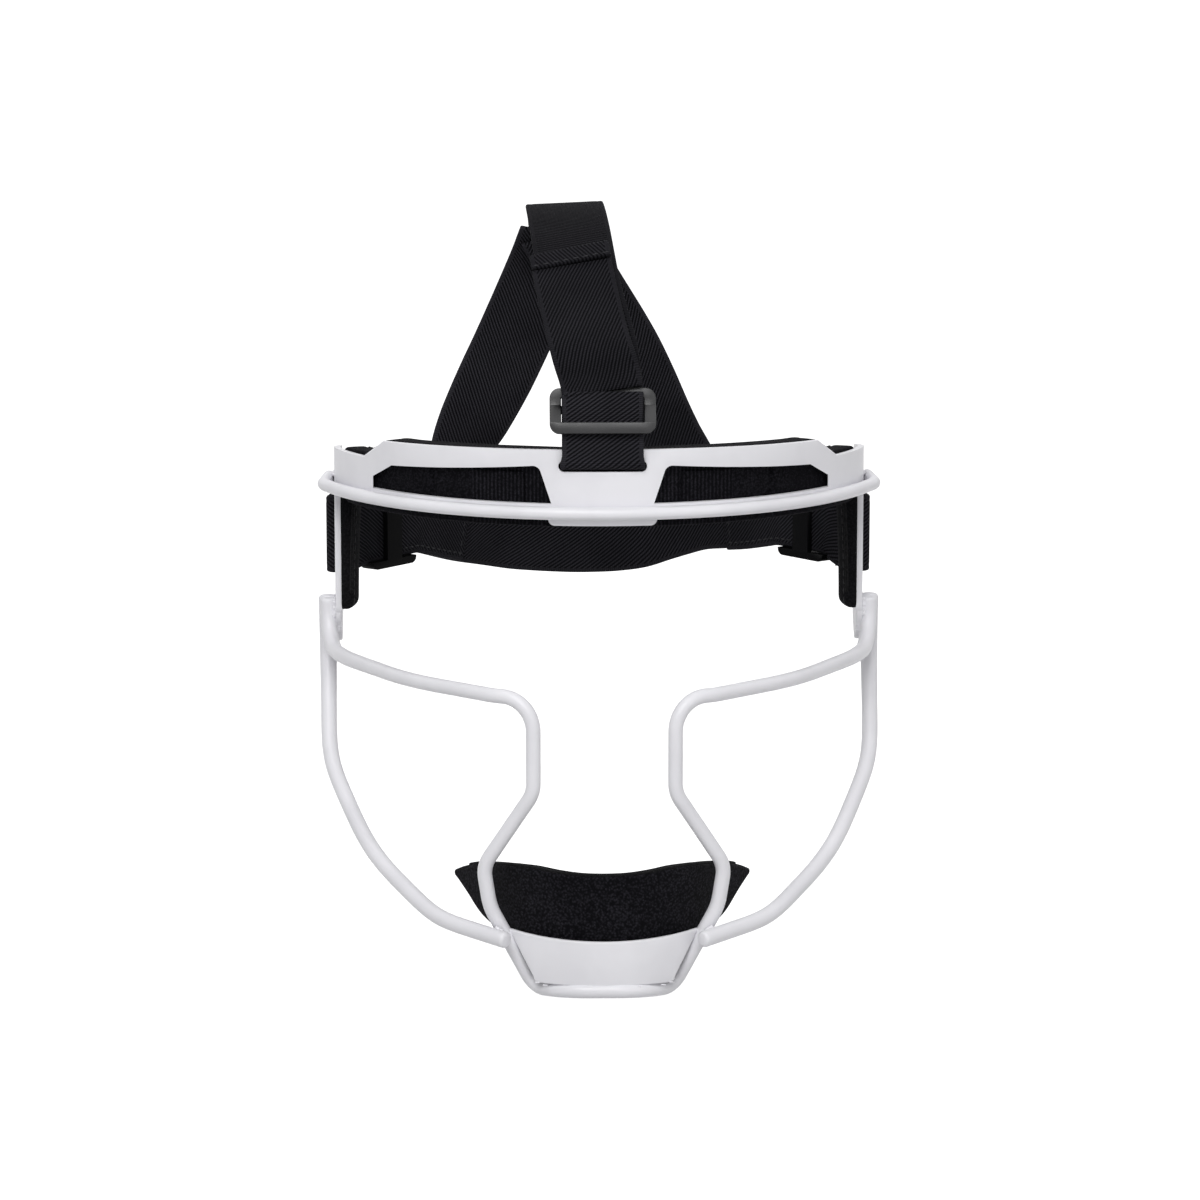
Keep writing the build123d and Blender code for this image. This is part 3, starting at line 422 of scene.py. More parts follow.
# Soft studio: pale floor that keeps the shadow, white behind, one large lamp above the front
studio = {
    "floor": -0.1502, "floorSize": 14.0, "floorColor": 0.55, "floorGlow": 0.95, "world": 0.36,
    "lamps": [
        ("key lamp", (-0.25, -1.1, 1.05), 0.8, 13.5),
        ("fill lamp", (0.75, -1.15, 0.4), 0.9, 2.5),
        ("top lamp", (0, 0.45, 1.3), 1, 3.5),
    ],
}


white = (1, 1, 1, 1)


def seenDirectly(g):
    path = g.add("ShaderNodeLightPath").outputs
    seen = g.math("ADD", path["Is Camera Ray"], path["Is Transmission Ray"])
    return g.math("MINIMUM", g.math("ADD", seen, path["Is Glossy Ray"]), 1)


floorFinish = bpy.data.materials.new("pale floor")
floorFinish.use_nodes = True
floorFinish.node_tree.nodes.clear()
g = Nodes(floorFinish.node_tree)
grey = studio["floorColor"]
plain = g.add("ShaderNodeBsdfDiffuse", {"Color": (grey, grey, grey, 1)})
glowing = g.math("MULTIPLY", seenDirectly(g), studio["floorGlow"])
glow = g.add("ShaderNodeEmission", {"Color": white, "Strength": glowing})
both = g.add("ShaderNodeAddShader", {0: plain.outputs[0], 1: glow.outputs[0]})
g.add("ShaderNodeOutputMaterial", {0: both.outputs[0]})

world = bpy.data.worlds.new("studio")
scene.world = world
world.use_nodes = True
world.node_tree.nodes.clear()
sky = Nodes(world.node_tree)
soft, bright = [sky.add("ShaderNodeBackground", {"Color": white, "Strength": strength}).outputs[0]
                for strength in (studio["world"], 1)]
skyMix = sky.add("ShaderNodeMixShader", {0: seenDirectly(sky), 1: soft, 2: bright})
sky.add("ShaderNodeOutputWorld", {0: skyMix.outputs[0]})

reach, level = studio["floorSize"], studio["floor"]
corners = [(-reach, -reach, level), (reach, -reach, level), (reach, reach, level), (-reach, reach, level)]
floorMesh = bpy.data.meshes.new("floor")
floorMesh.from_pydata(corners, [], [(0, 1, 2, 3)])
floorMesh.materials.append(floorFinish)
floor = bpy.data.objects.new("floor", floorMesh)
scene.collection.objects.link(floor)
floor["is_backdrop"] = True

for name, place, size, power in studio["lamps"]:
    lamp = bpy.data.lights.new(name, "AREA")
    lamp.size = size
    lamp.energy = power
    lampObject = bpy.data.objects.new(name, lamp)
    scene.collection.objects.link(lampObject)
    lampObject.location = place
    lampObject.rotation_euler = (Vector((0, 0.03, -0.03)) - Vector(place)).to_track_quat("-Z", "Y").to_euler()
scene.view_settings.view_transform = "Standard"
print("camera and light ready")


# Geometry Nodes: what repeats along a path

def makeRowTree(name, sizes, segments, rings, seed=None):
    # one small ball per step of a line: uneven weld ripples where there is a seed, otherwise stitches
    tree = bpy.data.node_groups.new(name, "GeometryNodeTree")
    socket = tree.interface.new_socket
    socket("Line", in_out="INPUT", socket_type="NodeSocketGeometry")
    for label, value in sizes.items():
        socket(label, in_out="INPUT", socket_type="NodeSocketFloat").default_value = value
    socket("Finish", in_out="INPUT", socket_type="NodeSocketMaterial")
    socket("Pieces", in_out="OUTPUT", socket_type="NodeSocketGeometry")
    g = Nodes(tree)
    start = g.add("NodeGroupInput").outputs
    curve = g.add("GeometryNodeMeshToCurve", {0: start["Line"]}).outputs[0]
    steps = {"Curve": curve, "Length": start["Step"]}
    points = g.add("GeometryNodeCurveToPoints", steps, mode="LENGTH").outputs
    facets = {"Segments": segments, "Rings": rings, "Radius": 0.5}
    ball = g.add("GeometryNodeMeshUVSphere", facets).outputs["Mesh"]
    turned = {}
    if seed:
        low = g.math("SUBTRACT", 1, start["Unevenness"])
        uneven = g.add("FunctionNodeRandomValue", {2: low, 3: 1, "Seed": seed}, data_type="FLOAT")
        size = g.math("MULTIPLY", start["Bead"], uneven.outputs[1])
    else:
        turned["Rotation"] = points["Rotation"]
        thread, length = start["Thread"], start["Stitch length"]
        size = g.add("ShaderNodeCombineXYZ", {"X": thread, "Y": thread, "Z": length}).outputs[0]
    balls = {"Points": points["Points"], "Instance": ball, "Scale": size, **turned}
    place = g.add("GeometryNodeInstanceOnPoints", balls)
    real = g.add("GeometryNodeRealizeInstances", {0: place.outputs[0]}).outputs[0]
    finish = g.add("GeometryNodeSetMaterial", {"Geometry": real, "Material": start["Finish"]})
    g.add("NodeGroupOutput", {0: finish.outputs[0]})
    return tree


stitchTree = makeRowTree("stitch row", {"Step": 0.0028, "Stitch length": 0.0021, "Thread": 0.00042}, 8, 5)
weldTree = makeRowTree("weld bead", {"Step": 0.0009, "Bead": 0.0019, "Unevenness": 0.18}, 10, 7, 7)


def alongLines(name, tree, lines, material, slotName, body=None, **sizes):
    # runs a tree over loose lines and keeps the result as a plain mesh
    guide = bpy.data.meshes.new(name + "_lines")
    verts, edges = [], []
    for line in lines:
        edges += [(len(verts) + k, len(verts) + k + 1) for k in range(len(line) - 1)]
        verts += [tuple(p) for p in line]
    guide.from_pydata(verts, edges, [])
    holder = bpy.data.objects.new(name + "_lines", guide)
    scene.collection.objects.link(holder)
    modifier = holder.modifiers.new("rows", "NODES")
    modifier.node_group = tree
    values = {"Finish": material, **sizes}
    for item in tree.interface.items_tree:
        key = item.name.replace(" ", "_")
        if item.in_out == "INPUT" and key in values:
            modifier[item.identifier] = values[key]
    graph = bpy.context.evaluated_depsgraph_get()
    mesh = bpy.data.meshes.new_from_object(holder.evaluated_get(graph))
    mesh.name = name
    bpy.data.objects.remove(holder)
    return newObject(name, mesh, material, body)


# The coated cage

cage = {"half": 86.3, "corner": 36, "frontTurn": 64, "sheet": 2, "weldGap": 0.1, "padThick": 10.8,
        "padGap": 0.3, "armLead": 4.33, "armWidth": 24, "armBottom": -45}
frontTurn = radians(cage["frontTurn"])
frontRadius = (cage["half"] - cage["corner"] * (1 - sin(frontTurn))) / sin(frontTurn)
frontFaceY = -(cage["padThick"] + cage["padGap"] + cage["sheet"])
frontCentreY = frontFaceY + frontRadius
cornerX = (frontRadius - cage["corner"]) * sin(frontTurn)
cornerY = frontCentreY - (frontRadius - cage["corner"]) * cos(frontTurn)
armFront = cornerY - cage["armLead"]
armBack = armFront + cage["armWidth"]

browWire = {"thick": 4.1, "flare": 12, "curl": 14, "endBack": 16, "step": 1.2}
faceWire = {
    "thick": 4.6, "endBack": 4, "endRise": 5.5, "bendZ": -54, "swell": (0.13, 0.16),
    "nose": (21.9, -42.3, -53.2), "sweep": [(0.915, 0.761), (0.585, 0.335), (0.181, 0.06)],
    "lower": [(21.9, -42.3, -82.8), (37.5, -35, -107.5), (35.5, -34, -120.7), (21.5, -32.2, -147.1),
              (12, -43.6, -145.4)],
    "bends": [12.3, 85, 95, 15, 10.3, 10, 10, 20, 5.5, 17],
}
jawWire = {
    "thick": 5.2, "cross": 2.5, "chin": (31.1, -129.5), "bends": [10, 30, 80, 26],
    "swell": (0.18, 0.22), "easing": 60,
    "shares": [(0.999, 1, 0.866), (0.982, 0.748, 0.458), (0.741, 0.478, 0.186), (0.37, 0.2, 0.022)],
}


def wirePiece(node, line, thick, swelling=None):
    name = node + "_rod"
    mesh = tubeMesh(name, [p * mm for p in line], thick / 2 * mm, around=24, blunt=0.45, swelling=swelling)
    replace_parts(newObject(name, mesh, coat, "cage"), node)


def mirrored(p):
    return Vector((-p.x, p.y, p.z))


def fuller(share, most, reach):
    # the wires are a little fuller towards the arms
    return 1 + most * max(0, 1 - share / reach)


browReach = frontRadius + cage["weldGap"] + browWire["thick"] / 2


def besideArm(wire):
    # where a wire runs that is welded along the arm's outside
    return cage["half"] + cage["weldGap"] + wire["thick"] / 2


def between(a, b, shares):
    # a point between two others, with a share for each axis
    return Vector([p + share * (q - p) for p, q, share in zip(a, b, shares)])


def onBrow(turn):
    return Vector((browReach * sin(turn), frontCentreY - browReach * cos(turn), 0))


arcEnd = onBrow(frontTurn)
browEnd = Vector((besideArm(browWire), armFront + browWire["endBack"], 0))
flareEnd = arcEnd + Vector((cos(frontTurn), sin(frontTurn), 0)) * browWire["flare"]
rightRun = roundedCorners([arcEnd, flareEnd, browEnd], [browWire["curl"]], 1)
frontArc = [onBrow(frontTurn * (k / 60 - 1)) for k in range(1, 120)]
browLine = [mirrored(p) for p in rightRun][::-1] + frontArc + rightRun
wirePiece("brow_wire", evenLine(browLine, browWire["step"]), browWire["thick"])

faceSide = Vector((besideArm(faceWire), armFront + faceWire["endBack"], faceWire["bendZ"]))
faceEnd = Vector((faceSide.x, faceSide.y, cage["armBottom"] + faceWire["endRise"]))
nose = Vector(faceWire["nose"])
halfFace = [faceEnd, faceSide] + [between(nose, faceSide, (x, y, y)) for x, y in faceWire["sweep"]]
halfFace += [nose] + [Vector(p) for p in faceWire["lower"]]
wirePiece("face_wire", roundedCorners([mirrored(p) for p in halfFace] + halfFace[::-1],
                                      faceWire["bends"] + faceWire["bends"][::-1], 1),
          faceWire["thick"], lambda share: fuller(min(share, 1 - share), *faceWire["swell"]))

bothThick = (faceWire["thick"] + jawWire["thick"]) / 2
jawEnd = Vector((besideArm(jawWire), faceEnd.y + cage["weldGap"] + bothThick, faceEnd.z))
jawX, jawZ = jawWire["chin"]
jawChin = Vector((jawX, faceWire["lower"][2][1] - bothThick - jawWire["cross"], jawZ))
jawRun = [jawEnd] + [between(jawChin, jawEnd, shares) for shares in jawWire["shares"]] + [jawChin]
jawLine = relaxed(roundedCorners(jawRun, jawWire["bends"], 1), jawWire["easing"])
for node, line in (("left_jaw_wire", [mirrored(p) for p in jawLine]), ("right_jaw_wire", jawLine)):
    wirePiece(node, line, jawWire["thick"], lambda share: fuller(share, *jawWire["swell"]))


def roundEdges(bm, edges, width):
    bmesh.ops.bevel(bm, geom=edges, offset=width * mm, offset_type="OFFSET", segments=3, profile=0.5,
                    affect="EDGES", clamp_overlap=True)


def roundedCopy(nodeName, name, material, width, body, reshape=None):
    # a CAD node's mesh with its sharp edges rounded over; reshape moves its points first
    bm = bmesh.new()
    bm.from_mesh(nodes[nodeName].data)
    bmesh.ops.remove_doubles(bm, verts=bm.verts, dist=0.00001)
    bmesh.ops.dissolve_degenerate(bm, edges=bm.edges, dist=0.00001)
    if reshape:
        for vert in bm.verts:
            vert.co = reshape(vert.co.copy())
    sharp = [e for e in bm.edges if len(e.link_faces) == 2 and e.calc_face_angle(0) > radians(35)]
    roundEdges(bm, sharp, width)
    mesh = bpy.data.meshes.new(name)
    bm.to_mesh(mesh)
    bm.free()
    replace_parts(newObject(name, mesh, material, body), nodeName)


edgeRound = {"band": 0.4, "plate": 0.45, "guide": 0.4, "slider": 0.6}
roundedCopy("forehead_band", "forehead_band_sheet", coat, edgeRound["band"], "cage")
platePlay = {"wider": 1.042, "lower": 0.7, "below": -142}


def fillWire(p):
    # the plate closes up to the wire round it
    if p.z < platePlay["below"] * mm:
        p.z -= platePlay["lower"] * mm
    p.x *= platePlay["wider"]
    return p


roundedCopy("chin_plate", "chin_plate_sheet", coat, edgeRound["plate"], "cage", fillWire)

# The arms' lower tips, which run down behind the wires
armTip = {"outline": [(50.6, -41), (51.2, -44.6), (54, -48.6), (57.4, -52.4), (60.6, -53.6), (64.6, -52),
                      (69, -47), (71, -42)], "bevel": 0.5, "inset": 0.06}
tipShape = bmesh.new()
for way in (-1, 1):
    outline = [p * mm for p in smoothLine([(y, z, 0) for y, z in armTip["outline"]], 1)]
    outer, inner = [[tipShape.verts.new((way * x * mm, p.x, p.y)) for p in outline]
                    for x in (cage["half"] - armTip["inset"], cage["half"] - cage["sheet"] + armTip["inset"])]
    rims = [tipShape.faces.new(outer), tipShape.faces.new(inner[::-1])]
    skin(tipShape, [inner, outer])
    roundEdges(tipShape, [e for face in rims for e in face.edges], armTip["bevel"])
newObject("arm_tips", meshFrom("arm_tips", tipShape), coat, "cage")

# Weld beads where the wires meet the arms, the chin and each other
weldLook = {"step": 0.55, "bead": 1.5, "unevenness": 0.25, "proud": 0.35, "above": 1.2, "past": 0.6,
            "besideFace": 1.9, "besideJaw": 2.1, "browHalf": 1.7, "browLength": 7,
            "chin": [[(34, -36.6, -129.9), (32.6, -37.6, -130.3), (30.9, -38, -130)],
                     [(33.4, -36.9, -126.9), (31.8, -37.9, -127.6)]]}
weldLow, weldHigh = cage["armBottom"] + weldLook["above"], faceEnd.z + weldLook["past"]
weldYs = (faceEnd.y - weldLook["besideFace"], (faceEnd.y + jawEnd.y) / 2, jawEnd.y + weldLook["besideJaw"])
weldLines = []
for way in (-1, 1):
    armX = way * (cage["half"] + weldLook["proud"])
    weldLines += [[(armX, y, weldLow), (armX, y, weldHigh)] for y in weldYs]
    for z in (-weldLook["browHalf"], weldLook["browHalf"]):
        weldLines.append([(armX, browEnd.y - weldLook["browLength"], z), (armX, browEnd.y, z)])
    weldLines += [[(way * x, y, z) for x, y, z in line] for line in weldLook["chin"]]
# Small tacks that bridge the seam round the chin plate
tackLook = {"step": 0.3, "bead": 0.55, "unevenness": 0.25, "half": 0.5, "drop": 0.1,
            "places": [(20.9, -41.2, -143.2), (18.4, -42.2, -143.8), (10.6, -43.9, -143.9),
                       (-2, -44.5, -143.9), (-18.4, -42.2, -143.8), (-20.9, -41.2, -143.2)]}
tackLines = [[(x - tackLook["half"], y, z), (x + tackLook["half"], y, z - tackLook["drop"])]
             for x, y, z in tackLook["places"]]
for name, look, lines in (("weld_beads", weldLook, weldLines), ("plate_tacks", tackLook, tackLines)):
    lines = [[Vector(p) * mm for p in line] for line in lines]
    alongLines(name, weldTree, lines, coat, "white_coat", "cage", Step=look["step"] * mm,
               Bead=look["bead"] * mm, Unevenness=look["unevenness"])

for name in ("brow_hook_patches", "chin_hook_patch", "left_side_hook_patch", "right_side_hook_patch"):
    nodes[name].data.materials.clear()
    nodes[name].data.materials.append(browKnit if name == "brow_hook_patches" else hookTape)
guideRail = {"tops": {"left": -30.7, "right": -28.4}, "near": 0.5, "rise": 0.5}


def closeRail(top):
    # the guide's lower rail reaches up to the strap's edge
    def raised(p):
        if abs(p.z - top * mm) < guideRail["near"] * mm:
            p.z += guideRail["rise"] * mm
        return p
    return raised


# the guides take the darker plastic, painted shade
for label, top in guideRail["tops"].items():
    roundedCopy(label + "_strap_guide", label + "_guide_moulding", shadedDullMoulded, edgeRound["guide"],
                label + "_guide", closeRail(top))
sliderWindow = {"half": 13.4, "closed": 12.9, "near": 0.25}


def closeWindow(p):
    # the slider's side bars lie against the strap's edges
    if abs(abs(p.x) - sliderWindow["half"] * mm) < sliderWindow["near"] * mm:
        p.x *= sliderWindow["closed"] / sliderWindow["half"]
    return p


roundedCopy("strap_slider", "slider_moulding", moulded, edgeRound["slider"], "slider",
            closeWindow)
print("cage and mouldings ready")


# Webbing: flat woven straps along the same runs as the solids

webbing = {"width": 25.4, "thick": 1.5, "selvedge": 1.2, "step": 1.2}


class StrapRun:
    # a strap's middle line with its across and upward directions; one direction may serve the whole line
    def __init__(self, line, sides):
        sides = [sides] * len(line) if isinstance(sides, Vector) else sides
        self.line = line
        self.dirs = headings(line)
        self.sides = []
        self.ups = []
        for side, heading in zip(sides, self.dirs):
            side = (side - heading * side.dot(heading)).normalized()
            self.sides.append(side)
            self.ups.append(side.cross(heading))
        self.along = [0]
        for a, b in zip(line, line[1:]):
            self.along.append(self.along[-1] + (b - a).length)

    def at(self, along, across, lift):
        # a point on the strap: metres along, across and above its middle line
        along = min(max(along, 0), self.along[-1])
        k = 0
        while k < len(self.along) - 2 and self.along[k + 1] < along:
            k += 1
        t = (along - self.along[k]) / (self.along[k + 1] - self.along[k])
        where, side, up = [row[k].lerp(row[k + 1], t) for row in (self.line, self.sides, self.ups)]
        return where + side * across + up * lift


def webbingMesh(name, run, spread=None):
    # UVs are metres along and across, for the weave; spread widens the strap at some places
    half = webbing["width"] / 2 * mm
    edge = webbing["thick"] / 2 * mm
    selvedge = webbing["selvedge"] * mm
    turns = [-pi / 2 + pi * k / 4 for k in range(5)]
    right = [(half - edge + edge * cos(turn), edge * sin(turn)) for turn in turns]
    shoulder = [(half - edge - selvedge, edge * 0.9), (half - edge - selvedge * 1.5, edge)]
    middle = [(half * share, edge) for share in (0.66, 0.33, 0, -0.33, -0.66)]
    upper = shoulder + middle + [(-x, y) for x, y in reversed(shoulder)]
    profile = right + upper + [(-x, y) for x, y in reversed(right)] + [(x, -y) for x, y in reversed(upper)]
    bm = bmesh.new()
    uvLayer = bm.loops.layers.uv.new("weave")
    rings, places = [], {}
    for i, p in enumerate(run.line):
        wide = spread(p) if spread else 1
        rings.append([bm.verts.new(p + run.sides[i] * x * wide + run.ups[i] * y) for x, y in profile])
        places.update({vert: (run.along[i], x) for vert, (x, _) in zip(rings[-1], profile)})
    skin(bm, rings)
    for ring in (rings[0], rings[-1]):
        bm.faces.new(ring)
    for face in bm.faces:
        for loop in face.loops:
            loop[uvLayer].uv = places[loop.vert]
    return meshFrom(name, bm)


def strapPiece(name, node, run, material, body=None, spread=None):
    piece = newObject(name, webbingMesh(name, run, spread), material, body)
    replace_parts(piece, node)
    return piece


flat, upright = Vector((1, 0, 0)), Vector((0, 0, 1))
bandSag = frontRadius - sqrt(frontRadius ** 2 - (webbing["width"] / 2) ** 2)
loopStrap = {"turnZ": 16.6, "leanZ": 21, "lean": 14, "length": 16.5, "bend": 15, "onward": (5.5, 15.5),
             "tighter": 0.1, "step": 0.5,
             "rimY": frontFaceY + (cage["sheet"] + bandSag) / 2,
             "radius": (cage["sheet"] + bandSag + webbing["thick"]) / 2 + 0.3}
lean = radians(loopStrap["lean"])
rimY, loopRadius = loopStrap["rimY"], loopStrap["radius"]


def plyPoint(way, reachUp, drift=0):
    # on the front ply (way -1) or the rear ply (way 1) of the front strap
    return Vector((drift, rimY + way * loopRadius * cos(lean) + reachUp * sin(lean),
                   loopStrap["leanZ"] - way * loopRadius * sin(lean) + reachUp * cos(lean)))


leanShift = loopRadius * tan(lean / 2)
turnLow = loopStrap["turnZ"] - loopRadius
leanZ, frontPly, rearPly = loopStrap["leanZ"], rimY - loopRadius, rimY + loopRadius
loopCorners = [plyPoint(-1, loopStrap["length"]), (0, frontPly, leanZ + leanShift), (0, frontPly, turnLow),
               (0, rearPly, turnLow), (0, rearPly, leanZ - leanShift), plyPoint(1, loopStrap["length"])]
turnBend = loopRadius - loopStrap["tighter"]
loopBends = [loopStrap["bend"], turnBend, turnBend, loopStrap["bend"]]
loopLine = [p * mm for p in roundedCorners(loopCorners, loopBends, loopStrap["step"])]
slotFill = {"wider": 0.045, "z": 14.2, "reach": 3.6}


def fillSlot(p):
    # the strap is bunched where it turns under the band's rim, and fills the slot
    away = abs(p.z / mm - slotFill["z"]) / slotFill["reach"]
    return 1 + slotFill["wider"] * max(0, 1 - away * away)


strapPiece("loop_strap_webbing", "band_loop_strap", StrapRun(loopLine, flat), twill["loop strap"],
           "cage", fillSlot)

def overHead(way, strap):
    # up one ply of the front strap and on through the strap's own points
    rises = zip((0, *loopStrap["onward"]), (0, *strap["drifts"]))
    points = [plyPoint(way, loopStrap["length"] + onward, drift) for onward, drift in rises]
    points += [Vector(p) for p in strap["points"]]
    return smoothLine([p * mm for p in points], webbing["step"] * mm)


def tilted(line, tilt):
    # directions across a strap that leans over along its way
    return [Vector((1, 0, tilt(i / (len(line) - 1)))) for i in range(len(line))]


crownStrap = {
    "points": [(-6.5, 12.6, 67.8), (-9.5, 40.6, 83.1), (-11, 70, 88.6), (-10.4, 91.5, 83.3),
               (-9.5, 103.3, 73.7)],
    "drifts": (-0.4, -2), "tilt": 0.11, "tiltPace": 1.15,
    # two places on the straps' way from the cage to the harness, in metres
    "bendStart": (0, -0.006, 0.04), "bendEnd": (-0.0095, 0.092, 0.08),
}
tailStrap = {"points": [(-8.2, 11.5, 69.2), (-9.7, 22, 77.3)], "fold": 5.6, "foldRadius": 0.8, "row": 4.6,
             "rowMargin": 1.6, "tilt": 0.2, "drifts": (-1, -4)}
crownLine = overHead(1, crownStrap)
crownRun = StrapRun(crownLine, tilted(
    crownLine, lambda share: crownStrap["tilt"] * sin(pi * min(1, share * crownStrap["tiltPace"]))))
crownPiece = strapPiece("crown_strap_webbing", "crown_strap", crownRun, twill["crown strap"])

tailLine = overHead(-1, tailStrap)
tailSides = tilted(tailLine, lambda share: tailStrap["tilt"] * share * share)
plainTail = StrapRun(tailLine, tailSides)
outside = -plainTail.ups[-1] if plainTail.ups[-1].y > 0 else plainTail.ups[-1]
foldStart, heading = tailLine[-1], plainTail.dirs[-1]
foldRadius = tailStrap["foldRadius"] * mm
foldLine = [foldStart + outside * foldRadius * (1 - cos(pi * k / 8)) + heading * foldRadius * sin(pi * k / 8)
            for k in range(1, 9)]
foldLine += [foldLine[-1] - heading * tailStrap["fold"] * mm * k / 5 for k in range(1, 6)]
tailRun = StrapRun(tailLine + foldLine, tailSides + [tailSides[-1]] * len(foldLine))
tailPiece = strapPiece("tail_strap_webbing", "tail_strap", tailRun, twill["tail strap"])

temple = {"turn": (cage["half"] - cage["sheet"] - 1.1, armFront + 0.6 * cage["armWidth"] + 2.3),
          "heading": (-0.62, 0.785), "cornerShare": 0.6705, "endShare": 0.703, "loop": (-4.2, 4.4, 6.1),
          "loopBack": 3.3, "bends": [2.2, 2, 2], "step": 0.6}
templeHeights = {
    "left": [(52, -19.4), (67, -19.4), (75.5, -17.9), (93, -17.6), (97, -17.8), (101, -19.1), (117, -24.2),
             (133, -29.6)],
    "right": [(52, -19.3), (67.7, -19.3), (75.5, -15.5), (93, -15.3), (97, -15.6), (101, -16.7),
              (109.6, -19), (118, -20.7), (133, -24)],
}
size = hypot(*temple["heading"])
runX, runY = temple["heading"][0] / size, temple["heading"][1] / size
turnX, turnY = temple["turn"]
rearCorner = -turnX * temple["cornerShare"] / runX
templeEnd = temple["endShare"] * rearCorner
loopIn, loopMiddle, loopOut = temple["loop"]
loopBackY = armBack + temple["loopBack"]
templeRuns = {}
for label, way in (("left", -1), ("right", 1)):
    corners = [Vector((turnX + loopIn, loopBackY, 0)), Vector((turnX + loopMiddle, loopBackY, 0)),
               Vector((turnX + loopOut, turnY, 0)), Vector((turnX, turnY, 0)),
               Vector((turnX + templeEnd * runX, turnY + templeEnd * runY, 0))]
    line = []
    plan = roundedCorners(corners, temple["bends"], temple["step"])
    inSlot = min(range(len(plan)), key=lambda k: (plan[k] - corners[3]).length)
    for k, p in enumerate(plan):
        height = fromTable(templeHeights[label], p.y if k > inSlot else turnY)
        line.append(Vector((way * p.x, p.y, height)) * mm)
    templeRuns[label] = StrapRun(line, upright)
    strapPiece(label + "_temple_webbing", label + "_temple_strap", templeRuns[label], twill["temple strap"],
               "harness")

rearStrap = {
    "start": 39.5, "cutBack": 3.1, "pitch": 1.8, "bend": 40,
    "heights": [(-1.03, -0.669), (-0.971, -0.732), (-0.762, -0.9528), (-0.5, -1.1496), (-0.333, -1.2165),
                (-0.156, -1.248), (0, -1.248), (0.133, -1.2323), (0.25, -1.189), (0.366, -1.0866),
                (0.479, -0.9843), (0.592, -0.8819), (0.707, -0.811), (0.82, -0.742), (0.936, -0.661),
                (1.03, -0.587)],
}
rearFlat = []
for reachAlong in (rearStrap["start"], rearCorner):
    rearFlat.append(Vector((turnX + reachAlong * runX + rearStrap["pitch"] * runY,
                            turnY + reachAlong * runY - rearStrap["pitch"] * runX, 0)))
rearHalf = rearFlat[0].x
# its slanting ends are cut back, so that the guides can slide past
rearFlat[0] += Vector((runX, runY, 0)) * rearStrap["cutBack"]
rearCorners = [mirrored(p) for p in rearFlat] + rearFlat[::-1]
rearPlan = roundedCorners(rearCorners, [rearStrap["bend"]] * 2, webbing["step"])
rearLine = [Vector((p.x, p.y, fromTable(rearStrap["heights"], p.x / rearHalf) * webbing["width"])) * mm
            for p in rearPlan]
strapPiece("rear_strap_webbing", "rear_strap", StrapRun(rearLine, upright), twill["rear strap"], "harness")

crownArms = {
    "left": {
        "points": [(-13.2, 95.3, 77), (-18.4, 106, 62), (-29.6, 112.5, 36), (-43, 117, 8),
                   (-46.6, 119, -0.5), (-49.3, 118.6, -8), (-52.9, 111.8, -22)],
        "normals": [(0, 0.75, 0.66), (0, 0.95, 0.25), (-0.02, 1, 0), (-0.04, 1, 0), (-0.35, 0.93, 0),
                    (-0.72, 0.69, 0), (-0.785, 0.62, 0)],
    },
    "right": {
        "points": [(-13.4, 93, 77), (-4.7, 104.05, 59.9), (9.2, 111.1, 36), (20.9, 119.1, 12),
                   (34.6, 130.6, -8), (39.5, 128.9, -20), (41.9, 125.8, -30.4)],
        "normals": [(0, 0.75, 0.66), (0, 0.95, 0.25), (0.02, 1, 0), (0.04, 1, 0), (0.5, 0.86, 0),
                    (0.72, 0.69, 0), (0.76, 0.65, 0)],
    },
}
armRuns = {}
for label, arm in crownArms.items():
    line = smoothLine([Vector(p) * mm for p in arm["points"]], webbing["step"] * mm)
    dirs = headings(line)
    normals = [Vector(v) for v in arm["normals"]]
    sides = []
    for i, heading in enumerate(dirs):
        place = i / (len(line) - 1) * (len(normals) - 1)
        k = min(int(place), len(normals) - 2)
        sides.append(normals[k].lerp(normals[k + 1], place - k).cross(heading))
    armRuns[label] = StrapRun(line, sides)
    node = label + "_crown_arm"
    strapPiece(node + "_webbing", node, armRuns[label], twill[label + " crown arm"], "harness")
print("webbing ready")

# Stitching on the straps
# boxes: where a sewn box starts and ends, in millimetres before the strap's end
sewing = {"step": 2.9, "stitch": 2.2, "thread": 0.5, "sunk": 0.1, "margin": 2.6, "templeBox": (37, 2.2),
          "footBox": (13, 2.4), "crownBox": (22, 2.4)}
threadLift = webbing["thick"] / 2 - sewing["sunk"]


def boxStitch(run, box, side, cross=False):
    # a sewn rectangle near a strap's end, on its upper (1) or lower (-1) face
    start, end = [run.along[-1] - before * mm for before in sewing[box]]
    lift = side * threadLift * mm
    wide = (webbing["width"] / 2 - sewing["margin"]) * mm

    def row(acrossStart, acrossEnd):
        return [run.at(start + (end - start) * k / 12, acrossStart + (acrossEnd - acrossStart) * k / 12, lift)
                for k in range(13)]

    lines = [row(-wide, -wide), row(wide, wide)]
    for along in (start, end):
        lines.append([run.at(along, wide * (k / 4 - 1), lift) for k in range(9)])
    if cross:
        lines += [row(wide, -wide), row(-wide, wide)]
    return lines


strapRows = []
for label in ("left", "right"):
    run, foot = templeRuns[label], armRuns[label]
    strapRows += boxStitch(run, "templeBox", -1) + boxStitch(run, "templeBox", 1)
    strapRows += boxStitch(foot, "footBox", -1, True) + boxStitch(foot, "footBox", 1, True)
sizes = {"Step": sewing["step"] * mm, "Stitch_length": sewing["stitch"] * mm, "Thread": sewing["thread"] * mm}
alongLines("harness_stitching", stitchTree, strapRows, threadFinish, "webbing", "harness", **sizes)

